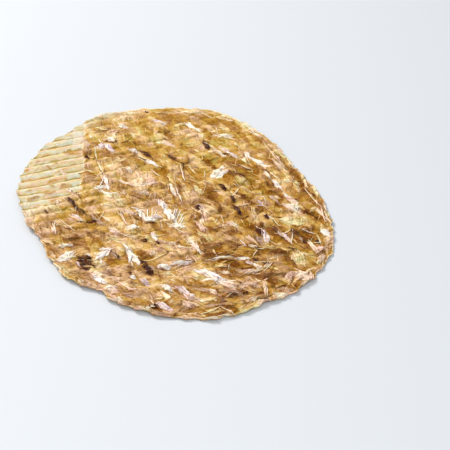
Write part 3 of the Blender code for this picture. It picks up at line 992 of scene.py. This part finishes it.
# %% [markdown]
# ## From arrays to a mesh
#
# A closed mesh is the upper grid, the lower grid turned over, and the wall of triangles between their rims.
# The numbers go along as attributes on the points, and the material reads them. So fine a mesh is large, so
# it is cut into four quarters along the two middle lines of the grid. The quarters share the places and the
# normals of their border points, so that no seam shows.


# %% Faces and normals
def grid_index(cells):
    """The point indices of a square grid, row by row."""
    return np.arange((cells + 1) ** 2).reshape(cells + 1, cells + 1)


def cell_quads(index):
    """Four corner indices of each cell of a grid, anticlockwise seen from above."""
    return np.stack([index[:-1, :-1], index[1:, :-1], index[1:, 1:], index[:-1, 1:]], axis=-1).reshape(-1, 4)


def border(index):
    """The indices along a grid's border, anticlockwise from its first corner."""
    return np.concatenate([index[:-1, 0], index[-1, :-1], index[:0:-1, -1], index[0, :0:-1]])


def wall_triangles(upper, lower):
    """The wall at the rim: for each coarse step a fan to its first point, and one to its second."""
    step = np.arange(lower.size)
    first, second = lower[step], lower[(step + 1) % lower.size]
    fine = [upper[(FINER * step + k) % upper.size] for k in range(FINER + 1)]
    half = FINER // 2
    fans = [np.stack([first if k < half else second, fine[k + 1], fine[k]], 1) for k in range(FINER)]
    return np.concatenate([np.stack([first, second, fine[half]], 1), *fans])


def point_normals(places, quads, triangles):
    """Each point's normal: the sum of its faces' normals, which are the crossed diagonals of the quads."""
    total = np.zeros_like(places)
    for faces, far in ((quads, 3), (triangles, 2)):
        across = places[faces[:, 2]] - places[faces[:, 0]]
        other = places[faces[:, far]] - places[faces[:, 1]]
        for corner in range(faces.shape[1]):
            for axis, part in enumerate(np.cross(across, other).T):
                total[:, axis] += np.bincount(faces[:, corner], part, len(places))
    return total / np.maximum(np.linalg.norm(total, axis=1, keepdims=True), 1e-12)

# %% Build a piece from arrays
ATTRIBUTES = ("depth", "hue", "membrane", "stain_and_shade", "crease", "grain", "bar", "thin")
NO_TRIANGLES = np.empty((0, 3), int)


def make_piece(name, places, quads, triangles, numbers, material, normals=None):
    """A mesh object from whole arrays, with each named number as a float attribute on its points."""
    mesh = bpy.data.meshes.new(name)
    corners = np.concatenate([quads.ravel(), triangles.ravel()]).astype(np.int32)
    sizes = np.concatenate([np.full(len(quads), 4), np.full(len(triangles), 3)])
    starts = np.concatenate([[0], np.cumsum(sizes)[:-1]]).astype(np.int32)
    mesh.vertices.add(len(places))
    mesh.vertices.foreach_set("co", np.clip(places, cad_box[0], cad_box[1]).astype(np.float32).ravel())
    mesh.loops.add(len(corners))
    mesh.loops.foreach_set("vertex_index", corners)
    mesh.polygons.add(len(sizes))
    mesh.polygons.foreach_set("loop_start", starts)
    mesh.update(calc_edges=True)
    mesh.shade_smooth()
    if normals is not None:
        mesh.normals_split_custom_set_from_vertices(normals)
    for label in ATTRIBUTES:
        layer = mesh.attributes.new(label, "FLOAT", "POINT")
        value = numbers.get(label, np.zeros(len(places)))
        layer.data.foreach_set("value", value.astype(np.float32))
    mesh.materials.append(material)
    piece = bpy.data.objects.new(name, mesh)
    bpy.context.scene.collection.objects.link(piece)
    return piece

# %% [markdown]
# ## The dried flesh
#
# Thin flesh is the colour of straw and thick flesh of amber, because it swallows more light; the colour ramp
# below says that. Fibres are a noise that is stretched along the grain: the coordinates are first turned by
# the grain attribute, then squeezed. The glaze is a thin clear coat, whose patches break the reflections of
# the window into glints.


# %% The colours, and small helpers for nodes
def linear(red, green, blue):
    """A colour as a screen shows it, 0 to 255, as the linear light that a shader mixes."""
    share = np.array([red, green, blue]) / 255
    light = np.where(share <= 0.04045, share / 12.92, ((share + 0.055) / 1.055) ** 2.4)
    return (*light.tolist(), 1.0)


FLESH_RAMP = (
    (0.00, linear(252, 238, 204)),
    (0.16, linear(238, 210, 162)),
    (0.36, linear(216, 176, 106)),
    (0.56, linear(190, 142, 62)),
    (0.76, linear(160, 104, 24)),
    (0.90, linear(132, 78, 6)),
    (1.00, linear(104, 56, 6)),
)
PINKER = linear(240, 196, 166)
GREENER = linear(226, 238, 200)
# The white film: white skin, and also the painted highlight on the raised edges of scraps
WHITE_SKIN_AND_HIGHLIGHT = linear(255, 253, 250)
LILAC_SKIN_AND_HIGHLIGHT = linear(212, 184, 198)
CREAM_SKIN_AND_HIGHLIGHT = linear(255, 240, 206)
# Dark skin and blood, and the painted shadow lines of the dark streaks to the right
DARK_SKIN_AND_SHADE = linear(40, 14, 24)
BROWN_SKIN_AND_SHADE = linear(86, 38, 16)
# The painted shadow beside the scraps' edges
CREASE_SHADE_TINT = linear(150, 98, 44)
# The bars' lines: partly the rack's mark, partly painted shade
OLIVE = linear(158, 130, 40)
THIN_BANDS = (
    (0.34, linear(202, 210, 192)),
    (0.44, linear(226, 220, 196)),
    (0.51, linear(212, 196, 130)),
    (0.58, linear(230, 200, 182)),
    (0.68, linear(200, 152, 78)),
)


class Nodes:
    """Short names for adding nodes to one material and joining them."""

    def __init__(self, material):
        material.use_nodes = True
        self.tree = material.node_tree
        self.shader = self.tree.nodes["Principled BSDF"]

    def add(self, kind, values=(), **settings):
        node = self.tree.nodes.new(kind)
        for key, value in settings.items():
            setattr(node, key, value)
        for socket, value in dict(values).items():
            self.put(value, node.inputs[socket])
        return node

    def put(self, value, socket):
        """Joins an output to the socket, or sets the socket to a plain value."""
        if isinstance(value, bpy.types.NodeSocket):
            self.tree.links.new(value, socket)
        else:
            socket.default_value = value

    def number(self, label):
        return self.add("ShaderNodeAttribute", attribute_name=label).outputs["Fac"]

    def math(self, operation, a, b=0.0, c=0.0, clamp=False):
        node = self.add("ShaderNodeMath", {0: a, 1: b, 2: c}, operation=operation, use_clamp=clamp)
        return node.outputs[0]

    def scale(self, value, gain, offset=0.0, clamp=False):
        """The value times the gain, plus the offset."""
        return self.math("MULTIPLY_ADD", value, gain, offset, clamp)

    def noise(self, place, waves, detail, roughness, distortion):
        """A noise with so many waves in a metre along X, Y and Z."""
        squeezed = self.add("ShaderNodeMapping", {"Vector": place, "Scale": waves}).outputs[0]
        values = {"Vector": squeezed, "Scale": 1.0, "Detail": detail, "Roughness": roughness,
                  "Distortion": distortion}
        return self.add("ShaderNodeTexNoise", values).outputs["Fac"]

    def mix(self, share, first, second, blend="MIX"):
        node = self.add("ShaderNodeMix", data_type="RGBA", blend_type=blend)
        self.put(share, node.inputs[0])
        self.put(first, node.inputs[6])
        self.put(second, node.inputs[7])
        return node.outputs[2]

    def ramp(self, share, stops):
        node = self.add("ShaderNodeValToRGB", {"Fac": share})
        elements = node.color_ramp.elements
        while len(elements) < len(stops):
            elements.new(0.5)
        for element, (place, colour) in zip(elements, stops):
            element.position = place
            element.color = colour
        return node.outputs["Color"]

# %% The flesh material
# Noises that are turned with the grain, and those that lie still. Of each: waves in a metre along X, Y and Z,
# detail, roughness and distortion.
GRAIN_NOISES = {
    "streaks": ((80, 480, 300), 2.0, 0.5, 0.4),
    "fibres": ((240, 1500, 700), 3.0, 0.6, 0.3),
}
STILL_NOISES = {
    "imprint": ((90, 900, 300), 3.0, 0.6, 0.2),
    "bands": ((55, 210, 60), 2.5, 0.6, 0.5),
    "zones": ((42, 42, 42), 2.0, 0.5, 0.0),
    "tints": ((85, 85, 85), 2.0, 0.5, 0.0),
    "blotches": ((110, 110, 110), 3.0, 0.55, 0.0),
    "specks": ((620, 620, 620), 2.0, 0.5, 0.0),
}
# How much of each noise goes into the depth
DEPTH_GAINS = {"streaks": 0.44, "fibres": 0.20, "imprint": 0.50, "zones": 1.1, "blotches": 0.7}
# What is the same all over the flesh
SURFACE = {
    "Specular IOR Level": 0.07,
    "Coat Roughness": 0.07,
    "Coat IOR": 1.45,
    "Subsurface Weight": 0.06,
    "Subsurface Radius": (0.9, 0.5, 0.2),
    "Subsurface Scale": 0.0008,
}
FIBRE_RELIEF = 0.0006
# Gain, or gain and offset, that turn a noise or a number into a share of each effect
TINT = (5.0, -2.35)
THINNESS = (-1.3, 1.3)
PINK, GREEN, GLASSY, CREAM, SHADOW = 0.78, -0.72, 0.90, -1.2, 0.9
BROKEN_BAR, STRONGEST_BAR = (2.8, -0.62), 0.88
BROWN_IN_DARK = (3.0, -1.1)
STAIN_AND_SHADE = (2.6, -0.25)
LILAC_BY_STREAKS, LILAC_BY_HUE = (3.0, -1.55), 0.6
FEATHER_BY_STREAKS, FEATHER_BY_FIBRES = (2.4, -1.2), (2.8, -1.4)
FILM = (1.15, 0.90)
GLAZE_PATCHES = (7.0, -3.9)
ROUGHNESS = (0.30, 0.20)
SPECKS_IN_RELIEF = 0.35


def flesh_noises(n):
    """All noises of the flesh, by name."""
    still = n.add("ShaderNodeTexCoord").outputs["Object"]
    turn = {"Vector": still, "Angle": n.scale(n.number("grain"), -1.0)}
    turned = n.add("ShaderNodeVectorRotate", turn, rotation_type="Z_AXIS").outputs[0]
    return {
        name: n.noise(place, *settings)
        for place, noises in ((turned, GRAIN_NOISES), (still, STILL_NOISES))
        for name, settings in noises.items()
    }


def flesh_colour(n, noise, paleness):
    """Depth plus the noises goes through the flesh ramp; hue tints it; glassy bands and the bars' lines, partly
    painted shade, lie over it.
    """
    depth = n.math("SUBTRACT", n.number("depth"), paleness)
    for name, gain in DEPTH_GAINS.items():
        depth = n.math("ADD", depth, n.scale(noise[name], gain, -gain / 2))
    colour = n.ramp(depth, FLESH_RAMP)
    hue = n.math("ADD", n.number("hue"), n.scale(noise["tints"], *TINT))
    thinness = n.scale(depth, *THINNESS, clamp=True)
    colour = n.mix(n.math("MULTIPLY", n.scale(hue, PINK, clamp=True), thinness), colour, PINKER, "COLOR")
    colour = n.mix(n.scale(hue, GREEN, clamp=True), colour, GREENER, "MULTIPLY")
    colour = n.mix(n.scale(n.number("thin"), GLASSY, clamp=True), colour, n.ramp(noise["bands"], THIN_BANDS))
    # The bars' lines, partly painted shade, in olive over the colour
    broken = n.math("MINIMUM", n.scale(noise["blotches"], *BROKEN_BAR, clamp=True), STRONGEST_BAR)
    return n.mix(n.math("MULTIPLY", n.number("bar"), broken, clamp=True), colour, OLIVE)


def skins_over(n, noise, colour):
    """Dark skin and painted shadow lines, white skin and painted highlights, and the painted shadows beside the
    scraps' edges, laid over the flesh's colour in turn.

    The white film is membrane times two noises along the grain, so that white skin ends in feathers.
    """
    # Dark skin and blood, and the painted shadow lines of the dark streaks to the right
    dark = n.mix(n.scale(noise["streaks"], *BROWN_IN_DARK, clamp=True), DARK_SKIN_AND_SHADE, BROWN_SKIN_AND_SHADE)
    stain_and_shade = n.math("MULTIPLY", n.number("stain_and_shade"), n.scale(noise["fibres"], *STAIN_AND_SHADE), clamp=True)
    colour = n.mix(stain_and_shade, colour, dark)
    # White skin, and the painted highlight on the raised edges of scraps
    lilac = n.scale(noise["streaks"], *LILAC_BY_STREAKS)
    lilac = n.scale(n.number("hue"), LILAC_BY_HUE, lilac, clamp=True)
    white = n.mix(lilac, WHITE_SKIN_AND_HIGHLIGHT, LILAC_SKIN_AND_HIGHLIGHT)
    white = n.mix(n.scale(n.number("hue"), CREAM, clamp=True), white, CREAM_SKIN_AND_HIGHLIGHT)
    feather = n.scale(noise["fibres"], *FEATHER_BY_FIBRES)
    feather = n.math("ADD", n.scale(noise["streaks"], *FEATHER_BY_STREAKS), feather)
    film = n.math("MULTIPLY", n.number("membrane"), n.scale(feather, *FILM), clamp=True)
    colour = n.mix(film, colour, white)
    # Painted shadow beside the scraps' edges
    return n.mix(n.scale(n.number("crease"), SHADOW, clamp=True), colour, CREASE_SHADE_TINT, "MULTIPLY")


def flesh(name, fibre_bump, glaze, paleness=0.0):
    """Dried, glazed flesh that reads the numbers of the points; the glaze lies on it in patches."""
    material = bpy.data.materials.new(name)
    n = Nodes(material)
    noise = flesh_noises(n)
    relief = n.math("ADD", noise["fibres"], noise["streaks"])
    relief = n.scale(noise["specks"], SPECKS_IN_RELIEF, relief)
    bump = n.add("ShaderNodeBump", {"Height": relief, "Strength": fibre_bump, "Distance": FIBRE_RELIEF})
    surface = {
        "Base Color": skins_over(n, noise, flesh_colour(n, noise, paleness)),
        "Roughness": n.scale(noise["specks"], *ROUGHNESS),
        "Coat Weight": n.scale(n.scale(noise["blotches"], *GLAZE_PATCHES, clamp=True), glaze),
        "Normal": bump.outputs[0],
        **SURFACE,
    }
    for socket, value in surface.items():
        n.put(value, n.shader.inputs[socket])
    return material


sheet_flesh = flesh("dried_fish_flesh", fibre_bump=0.22, glaze=0.6)
print("Nodes in the flesh material:", len(sheet_flesh.node_tree.nodes))

# %% Make the sheet's four quarters
top_index = grid_index(TOP_CELLS)
bottom_index = grid_index(BOTTOM_CELLS) + top_index.size
joined = {label: np.concatenate([getattr(top, label), getattr(bottom, label)]) for label in ATTRIBUTES}
sheet_places = frame_place(np.concatenate([
    np.stack([face.x, face.y, face.height], axis=1) for face in (top, bottom)
]))
sheet_quads = np.concatenate([cell_quads(top_index), cell_quads(bottom_index)[:, ::-1]])
sheet_triangles = wall_triangles(border(top_index), border(bottom_index))
sheet_normals = point_normals(sheet_places, sheet_quads, sheet_triangles)


def quarter_of(faces):
    """0 to 3 for each face, by the side of the two middle lines that its middle lies on."""
    middle = sheet_places[faces].mean(axis=1)[:, :2] + PLAN_MIDDLE
    return (middle[:, 0] > 0) * 1 + (middle[:, 1] > 0) * 2


def make_quarter(number):
    """One quarter of the sheet: its faces, and only the points that they use."""
    quads = sheet_quads[quarter_of(sheet_quads) == number]
    triangles = sheet_triangles[quarter_of(sheet_triangles) == number]
    used, renumbered = np.unique(np.concatenate([quads.ravel(), triangles.ravel()]), return_inverse=True)
    quads = renumbered[:quads.size].reshape(-1, 4)
    triangles = renumbered[-triangles.size:].reshape(-1, 3)
    numbers = {label: value[used] for label, value in joined.items()}
    quarter = make_piece(f"fish_sheet_quarter_{number + 1}", sheet_places[used], quads, triangles, numbers,
                         sheet_flesh, sheet_normals[used])
    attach(quarter, "root")
    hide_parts(SHEET_NODE)
    return quarter


quarters = [make_quarter(number) for number in range(4)]
print("Triangles in each quarter:", [2 * len(q.data.polygons) for q in quarters], "at most")

# %% [markdown]
# ## Flakes that stand up
#
# Where a scrap's edge came loose it curled as it dried. Each flake here is a small closed leaf, six cells
# long and three wide, with a bottom side a quarter of a millimetre under its top side. One long side lies
# on the sheet and the other rises in a curve.


# %% Find the sheet's own point anywhere
def top_point(x, y):
    """The index of the upper face's grid point nearest to each plan place.

    It undoes the bending of the grid: the quarter that a place lies in, its share of the rim's radius, and
    its share of that quarter's angle give the two grid indices.
    """
    angle = np.arctan2(y, x)
    radius = np.clip(np.hypot(x, y) / smooth_rim(angle), 0, 1)
    quarter = np.round(angle / (math.pi / 2)).astype(int) % 4
    within = half_turn(angle - quarter * math.pi / 2)
    main, other = radius, radius * within * 4 / math.pi
    u = np.choose(quarter, [main, -other, -main, other])
    v = np.choose(quarter, [other, main, -other, -main])
    i = np.clip(np.round((u + 1) * TOP_CELLS / 2).astype(int), 0, TOP_CELLS)
    j = np.clip(np.round((v + 1) * TOP_CELLS / 2).astype(int), 0, TOP_CELLS)
    return i * (TOP_CELLS + 1) + j


tested = np.arange(0, top.x.size, 997)
missed = top_point(top.x[tested], top.y[tested]) != tested
print("Places that the finder gets wrong:", int(missed.sum()), "of", missed.size)

# %% Shape all flakes at once
FLAKE_CELLS = (6, 3)
FLAKE_THICKNESS = 0.00022
LOOSE_FLAKES = 110
# How far a flake's top side lies off the sheet, and how far a bump under it may lift it over its mean ground
FLAKE_GAP, FLAKE_RIDE = 0.00015, 0.0006
# How far below the solid's top flakes and threads start to be pressed, and the room that they keep
FLAKE_KNEE, FLAKE_ROOM = 0.0020, 0.0019


def within_rim(x, y):
    """Plan places, with those beyond the torn rim drawn in to it."""
    angle = np.arctan2(y, x)
    share = np.minimum(1, (full_rim(angle) - 0.0003) / np.maximum(np.hypot(x, y), 1e-6))
    return x * share, y * share


def rooted(rng, count, reach):
    """Up to count places where fillets lie, out to a share of the sheet's radius."""
    xs, ys = scattered(rng, 2 * count)
    inner = (np.hypot(xs, ys) < reach * SHEET_RADIUS) & (covered(xs, ys) > 0.9)
    return xs[inner][:count], ys[inner][:count]


def below_solid_top(places):
    """Presses what would stand above the solid's top softly back under it."""
    places[..., 2] = pressed(places[..., 2], TABLE_TO_TOP - FLAKE_KNEE, FLAKE_ROOM)
    return places


def flake_arrays(leaves, lifts, rng):
    """Places of all flakes' points, (flake, side, along, across, 3), from their leaves and lifts.

    A point at (along, across), both from -1 to 1, lies at half length times along, and at half width times
    (1 - |along|^2.2)^blunt times across. It rises with the square of its share across, so that one side stays
    on the sheet, and bends up or down along its length.
    """
    count = len(leaves)
    x, y, angle, length, width = (leaves[:, k][:, None, None] for k in range(5))
    along, across = np.meshgrid(
        np.linspace(-1, 1, FLAKE_CELLS[0] + 1), np.linspace(-1, 1, FLAKE_CELLS[1] + 1), indexing="ij")
    phase = rng.uniform(0, 6, (count, 1, 1))
    blunt = 0.9 + 0.4 * np.sin(2 * phase)
    taper = (0.06 + 0.94 * (1 - np.abs(along) ** 2.2) ** blunt) * (1 + 0.6 * np.sin(phase) * along)
    a = along * length / 2 * (1 + 0.10 * np.sin(5 * across + phase))
    b = across * width / 2 * taper * (1 + 0.30 * np.sin(7 * along + phase))
    rise = lifts[:, None, None] * (0.5 + 0.5 * across) ** 2 * (0.65 + 0.35 * np.sin(2.6 * along + phase))
    plan_x, plan_y = within_rim(*step_off(x, y, angle, a, b))
    ground = top.height[top_point(plan_x, plan_y)]
    upper = np.minimum(ground, ground.mean(axis=(1, 2), keepdims=True) + FLAKE_RIDE) + rise + FLAKE_GAP
    lower = upper - FLAKE_THICKNESS * (0.65 + 0.65 * (1 - np.abs(along)) * (1 - np.abs(across)))
    return np.stack([np.stack([plan_x, plan_y, z], axis=-1) for z in (upper, lower)], axis=1)


def flake_faces(count):
    """Quads of all flakes: the upper grid, the lower grid turned over, and the strip round their edge."""
    long_way, wide_way = FLAKE_CELLS
    per_side = (long_way + 1) * (wide_way + 1)
    index = np.arange(per_side).reshape(long_way + 1, wide_way + 1)
    ring = border(index)
    after = np.roll(ring, -1)
    edge = np.stack([ring + per_side, after + per_side, after, ring], axis=1)
    one = np.concatenate([cell_quads(index), cell_quads(index)[:, ::-1] + per_side, edge])
    return (np.arange(count)[:, None, None] * 2 * per_side + one).reshape(-1, 4)


def loose_flakes(rng):
    """Flakes by rule: their leaves, their lifts, and the four tones of each."""
    xs, ys = rooted(rng, LOOSE_FLAKES, 0.965)
    count = len(xs)
    angle = run_of_fibres(xs, ys) + rng.normal(0, 0.6, count) + math.pi * rng.integers(0, 2, count)
    length = rng.uniform(0.006, 0.020, count)
    width = np.clip(length * rng.uniform(0.18, 0.42, count), 0.0018, 0.0060)
    lifts = rng.uniform(0.0004, 0.0016, count)
    kind = rng.random(count)
    depth = np.where(kind < 0.5, rng.uniform(0.05, 0.3, count), rng.uniform(0.4, 0.8, count))
    tones = [depth, rng.uniform(-0.8, 0.8, count), 0.7 * (kind < 0.05), 0.7 * (kind > 0.98)]
    return np.stack([xs, ys, angle, length, width], axis=1), lifts, np.stack(tones, axis=1)


def flakes_along(kind, rng):
    """Two narrow flakes side by side along each scrap of a kind that the photograph shows."""
    leaves = np.repeat([leaf_between(*scrap) for scrap in SEEN_SCRAPS[kind]], 2, axis=0)
    x, y, angle, length, width = leaves.T
    count = len(leaves)
    x, y = step_off(x, y, angle, 0, width * np.tile((-0.22, 0.22), count // 2))
    angle = angle + rng.normal(0, 0.25, count)
    length = length * rng.uniform(0.4, 0.85, count)
    width = np.maximum(width * rng.uniform(0.25, 0.45, count), 0.0009)
    lifts = rng.uniform(0.0006, 0.0020, count)
    tones = np.array(KINDS[kind]) * rng.uniform(0.6, 1.0, (len(TONES), count)).T
    return np.stack([x, y, angle, length, width], axis=1), lifts, tones


def make_flakes():
    """All flakes as one piece; each has the sheet's tones at its root and its own at its loose side."""
    rng = np.random.default_rng(LOOK_SEED + 2)
    groups = [loose_flakes(rng)] + [flakes_along(kind, rng) for kind in ("cream", "dark", "lilac", "white")]
    leaves, lifts, tones = (np.concatenate(part) for part in zip(*groups))
    places = below_solid_top(flake_arrays(leaves, lifts, rng))
    per_flake = places[0].size // 3
    root = top_point(places[..., 0].ravel(), places[..., 1].ravel())
    loose = np.tile(np.linspace(0.15, 1, FLAKE_CELLS[1] + 1), len(leaves) * 2 * (FLAKE_CELLS[0] + 1))
    numbers = {
        label: getattr(top, label)[root] * (1 - loose) + np.repeat(tone, per_flake) * loose
        for label, tone in zip(TONES, tones.T)
    }
    numbers["grain"] = np.repeat(leaves[:, 2], per_flake)
    # The painted shadow beside edges, at the flake's root, fades towards its loose side
    numbers["crease"] = 0.8 * top.crease[root] * (1 - loose)
    material = flesh("curled_flake_flesh", fibre_bump=0.35, glaze=0.7, paleness=0.04)
    points = frame_place(places.reshape(-1, 3))
    return make_piece("curled_flakes", points, flake_faces(len(leaves)), NO_TRIANGLES, numbers, material)


flakes = make_flakes()
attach(flakes, "root")
print("Curled flakes, faces:", len(flakes.data.polygons))

# %% [markdown]
# ## Threads of muscle
#
# Torn muscle leaves threads, less than a millimetre thick, that lie over everything and catch the light. A
# thread is a tube: a path on the sheet, and a small ring of five points carried along it that shrinks towards
# both ends.

# %% Draw all threads
THREAD_COUNT = 150
THREAD_STEPS = 9
THREAD_SIDES = 5
THREAD_RADIUS = (0.00014, 0.00034)
WHITE_STRAND_RADIUS = 0.00044
SEEN_THREADS = len(PALE_THREADS) + len(WHITE_STRANDS)


def thread_arrays(paths, radii):
    """Tubes round paths (thread, step, 3): at each step a ring in the upright plane across the path."""
    run = np.gradient(paths, axis=1)
    flat = np.hypot(run[..., 0], run[..., 1])[..., None]
    sideways = np.concatenate([-run[..., 1:2], run[..., 0:1], np.zeros_like(flat)], axis=-1) / flat
    share = np.linspace(0, 1, paths.shape[1])
    thick = radii[:, None] * (0.15 + 0.85 * np.sin(math.pi * share) ** 0.5)
    turn = np.arange(THREAD_SIDES) * 2 * math.pi / THREAD_SIDES
    ring = np.cos(turn)[:, None] * sideways[:, :, None, :] + np.sin(turn)[:, None] * straight_up
    return paths[:, :, None, :] + thick[..., None, None] * ring


def thread_faces(count):
    """Quads round each tube and a fan of triangles on each end."""
    index = np.arange(THREAD_STEPS * THREAD_SIDES).reshape(THREAD_STEPS, THREAD_SIDES)
    quads = cell_quads(np.concatenate([index, index[:, :1]], axis=1))
    fan = np.array([[0, k, k + 1] for k in range(1, THREAD_SIDES - 1)])
    ends = np.concatenate([fan, fan[:, ::-1] + index[-1, 0]])
    shift = np.arange(count)[:, None, None] * THREAD_STEPS * THREAD_SIDES
    return (shift + quads).reshape(-1, 4), (shift + ends).reshape(-1, 3)


def thread_lines(rng):
    """Threads by rule, along the fibres, then the photograph's own: x, y, angle and length of each."""
    xs, ys = rooted(rng, THREAD_COUNT, 0.90)
    angle = run_of_fibres(xs, ys) + rng.normal(0, 0.7, len(xs))
    length = rng.uniform(0.005, 0.018, len(xs))
    seen = [leaf_between(*thread, 1)[:4] for thread in PALE_THREADS + WHITE_STRANDS]
    return np.concatenate([np.stack([xs, ys, angle, length], axis=1), seen])


def thread_paths(lines, rng):
    """Middle lines (thread, step, 3): each bows to one side in plan and hops a little off the sheet."""
    x, y, angle, length = (lines[:, k, None] for k in range(4))
    share = np.linspace(-0.5, 0.5, THREAD_STEPS)
    arch = np.cos(math.pi * share)
    bow = length * rng.uniform(-0.18, 0.18, (len(lines), 1)) * arch
    bow[-SEEN_THREADS:] *= 0.4
    plan_x, plan_y = within_rim(*step_off(x, y, angle, length * share, bow))
    ground = top.height[top_point(plan_x, plan_y)]
    smooth = (ground + np.roll(ground, 1, axis=1) + np.roll(ground, -1, axis=1)) / 3
    smooth[:, [0, -1]] = ground[:, [0, -1]]
    hop = rng.uniform(0.0000, 0.0009, (len(lines), 1)) * arch
    return np.stack([plan_x, plan_y, np.maximum(smooth, ground) + hop + 0.0001], axis=-1)


def make_threads():
    """All threads as one piece; those that the photograph shows are the thickest and the palest."""
    rng = np.random.default_rng(LOOK_SEED + 3)
    lines = thread_lines(rng)
    paths = thread_paths(lines, rng)
    radii = rng.uniform(*THREAD_RADIUS, len(lines))
    kind = rng.random(len(lines))
    depth = np.where(kind < 0.75, 0.0, 0.45)
    skin = np.where(kind < 0.15, 0.5, 0.0)
    radii[-SEEN_THREADS:] = THREAD_RADIUS[1]
    depth[-SEEN_THREADS:] = 0.0
    radii[-len(WHITE_STRANDS):] = WHITE_STRAND_RADIUS
    skin[-len(WHITE_STRANDS):] = 0.95
    own = {"depth": depth, "membrane": skin, "grain": lines[:, 2]}
    numbers = {label: np.repeat(value, THREAD_STEPS * THREAD_SIDES) for label, value in own.items()}
    points = frame_place(below_solid_top(thread_arrays(paths, radii)).reshape(-1, 3))
    material = flesh("muscle_thread_flesh", fibre_bump=0.1, glaze=0.4, paleness=0.05)
    return make_piece("muscle_threads", points, *thread_faces(len(lines)), numbers, material)


threads = make_threads()
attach(threads, "root")
print("Threads, faces:", len(threads.data.polygons))

# %% [markdown]
# ## The table and the light
#
# The photograph is taken on white, in the light of one large window to the left and behind, with the white
# room filling the shadows. A floor, a big lamp, a weaker wide one and a pale sky do the same.

# %% Floor, lamps and sky
FLOOR_HALF = 3.0
FLOOR_DEPTH = 0.0004
FLOOR_COLOUR = (0.64, 0.665, 0.695, 1)
FLOOR_ROUGHNESS = 0.7
# Of each lamp: metres rightwards, forwards and up, size in metres, power in watts, colour
LAMPS = {
    "window": (-2.3, 1.1, 2.2, 1.1, 108.0, (1.0, 0.985, 0.97)),
    "room": (-0.2, -1.1, 1.3, 1.4, 9.0, (0.97, 0.98, 1.0)),
}
SKY_COLOUR, SKY_STRENGTH = (0.96, 0.98, 1.0, 1), 0.56


def lay_floor():
    """A plain pale floor, just under the sheet."""
    half = FLOOR_HALF
    mesh = bpy.data.meshes.new("floor")
    corners = [(-half, -half, 0), (half, -half, 0), (half, half, 0), (-half, half, 0)]
    mesh.from_pydata(corners, [], [(0, 1, 2, 3)])
    material = bpy.data.materials.new("pale_floor")
    material.use_nodes = True
    shader = material.node_tree.nodes["Principled BSDF"]
    shader.inputs["Base Color"].default_value = FLOOR_COLOUR
    shader.inputs["Roughness"].default_value = FLOOR_ROUGHNESS
    mesh.materials.append(material)
    floor = bpy.data.objects.new("floor", mesh)
    floor.location.z = -FLOOR_DEPTH
    bpy.context.scene.collection.objects.link(floor)
    return floor


def hang_lamp(name, right, forwards, height, size, power, colour):
    """A square area lamp at a place in the camera's level directions, facing the sheet's middle."""
    data = bpy.data.lights.new(name, "AREA")
    data.shape = "SQUARE"
    data.size = size
    data.energy = power
    data.color = colour
    lamp = bpy.data.objects.new(name, data)
    place = Vector(level_right * right + level_forward * forwards + straight_up * height)
    lamp.location = place
    lamp.rotation_euler = (-place).to_track_quat("-Z", "Y").to_euler()
    bpy.context.scene.collection.objects.link(lamp)


def set_sky():
    """An even sky."""
    world = bpy.data.worlds.new("white_room")
    world.use_nodes = True
    background = world.node_tree.nodes["Background"]
    background.inputs["Color"].default_value = SKY_COLOUR
    background.inputs["Strength"].default_value = SKY_STRENGTH
    bpy.context.scene.world = world


floor = lay_floor()
for name, settings in LAMPS.items():
    hang_lamp(name, *settings)
set_sky()
bpy.context.scene.view_settings.view_transform = "Standard"
print("Lamps hung:", list(LAMPS))
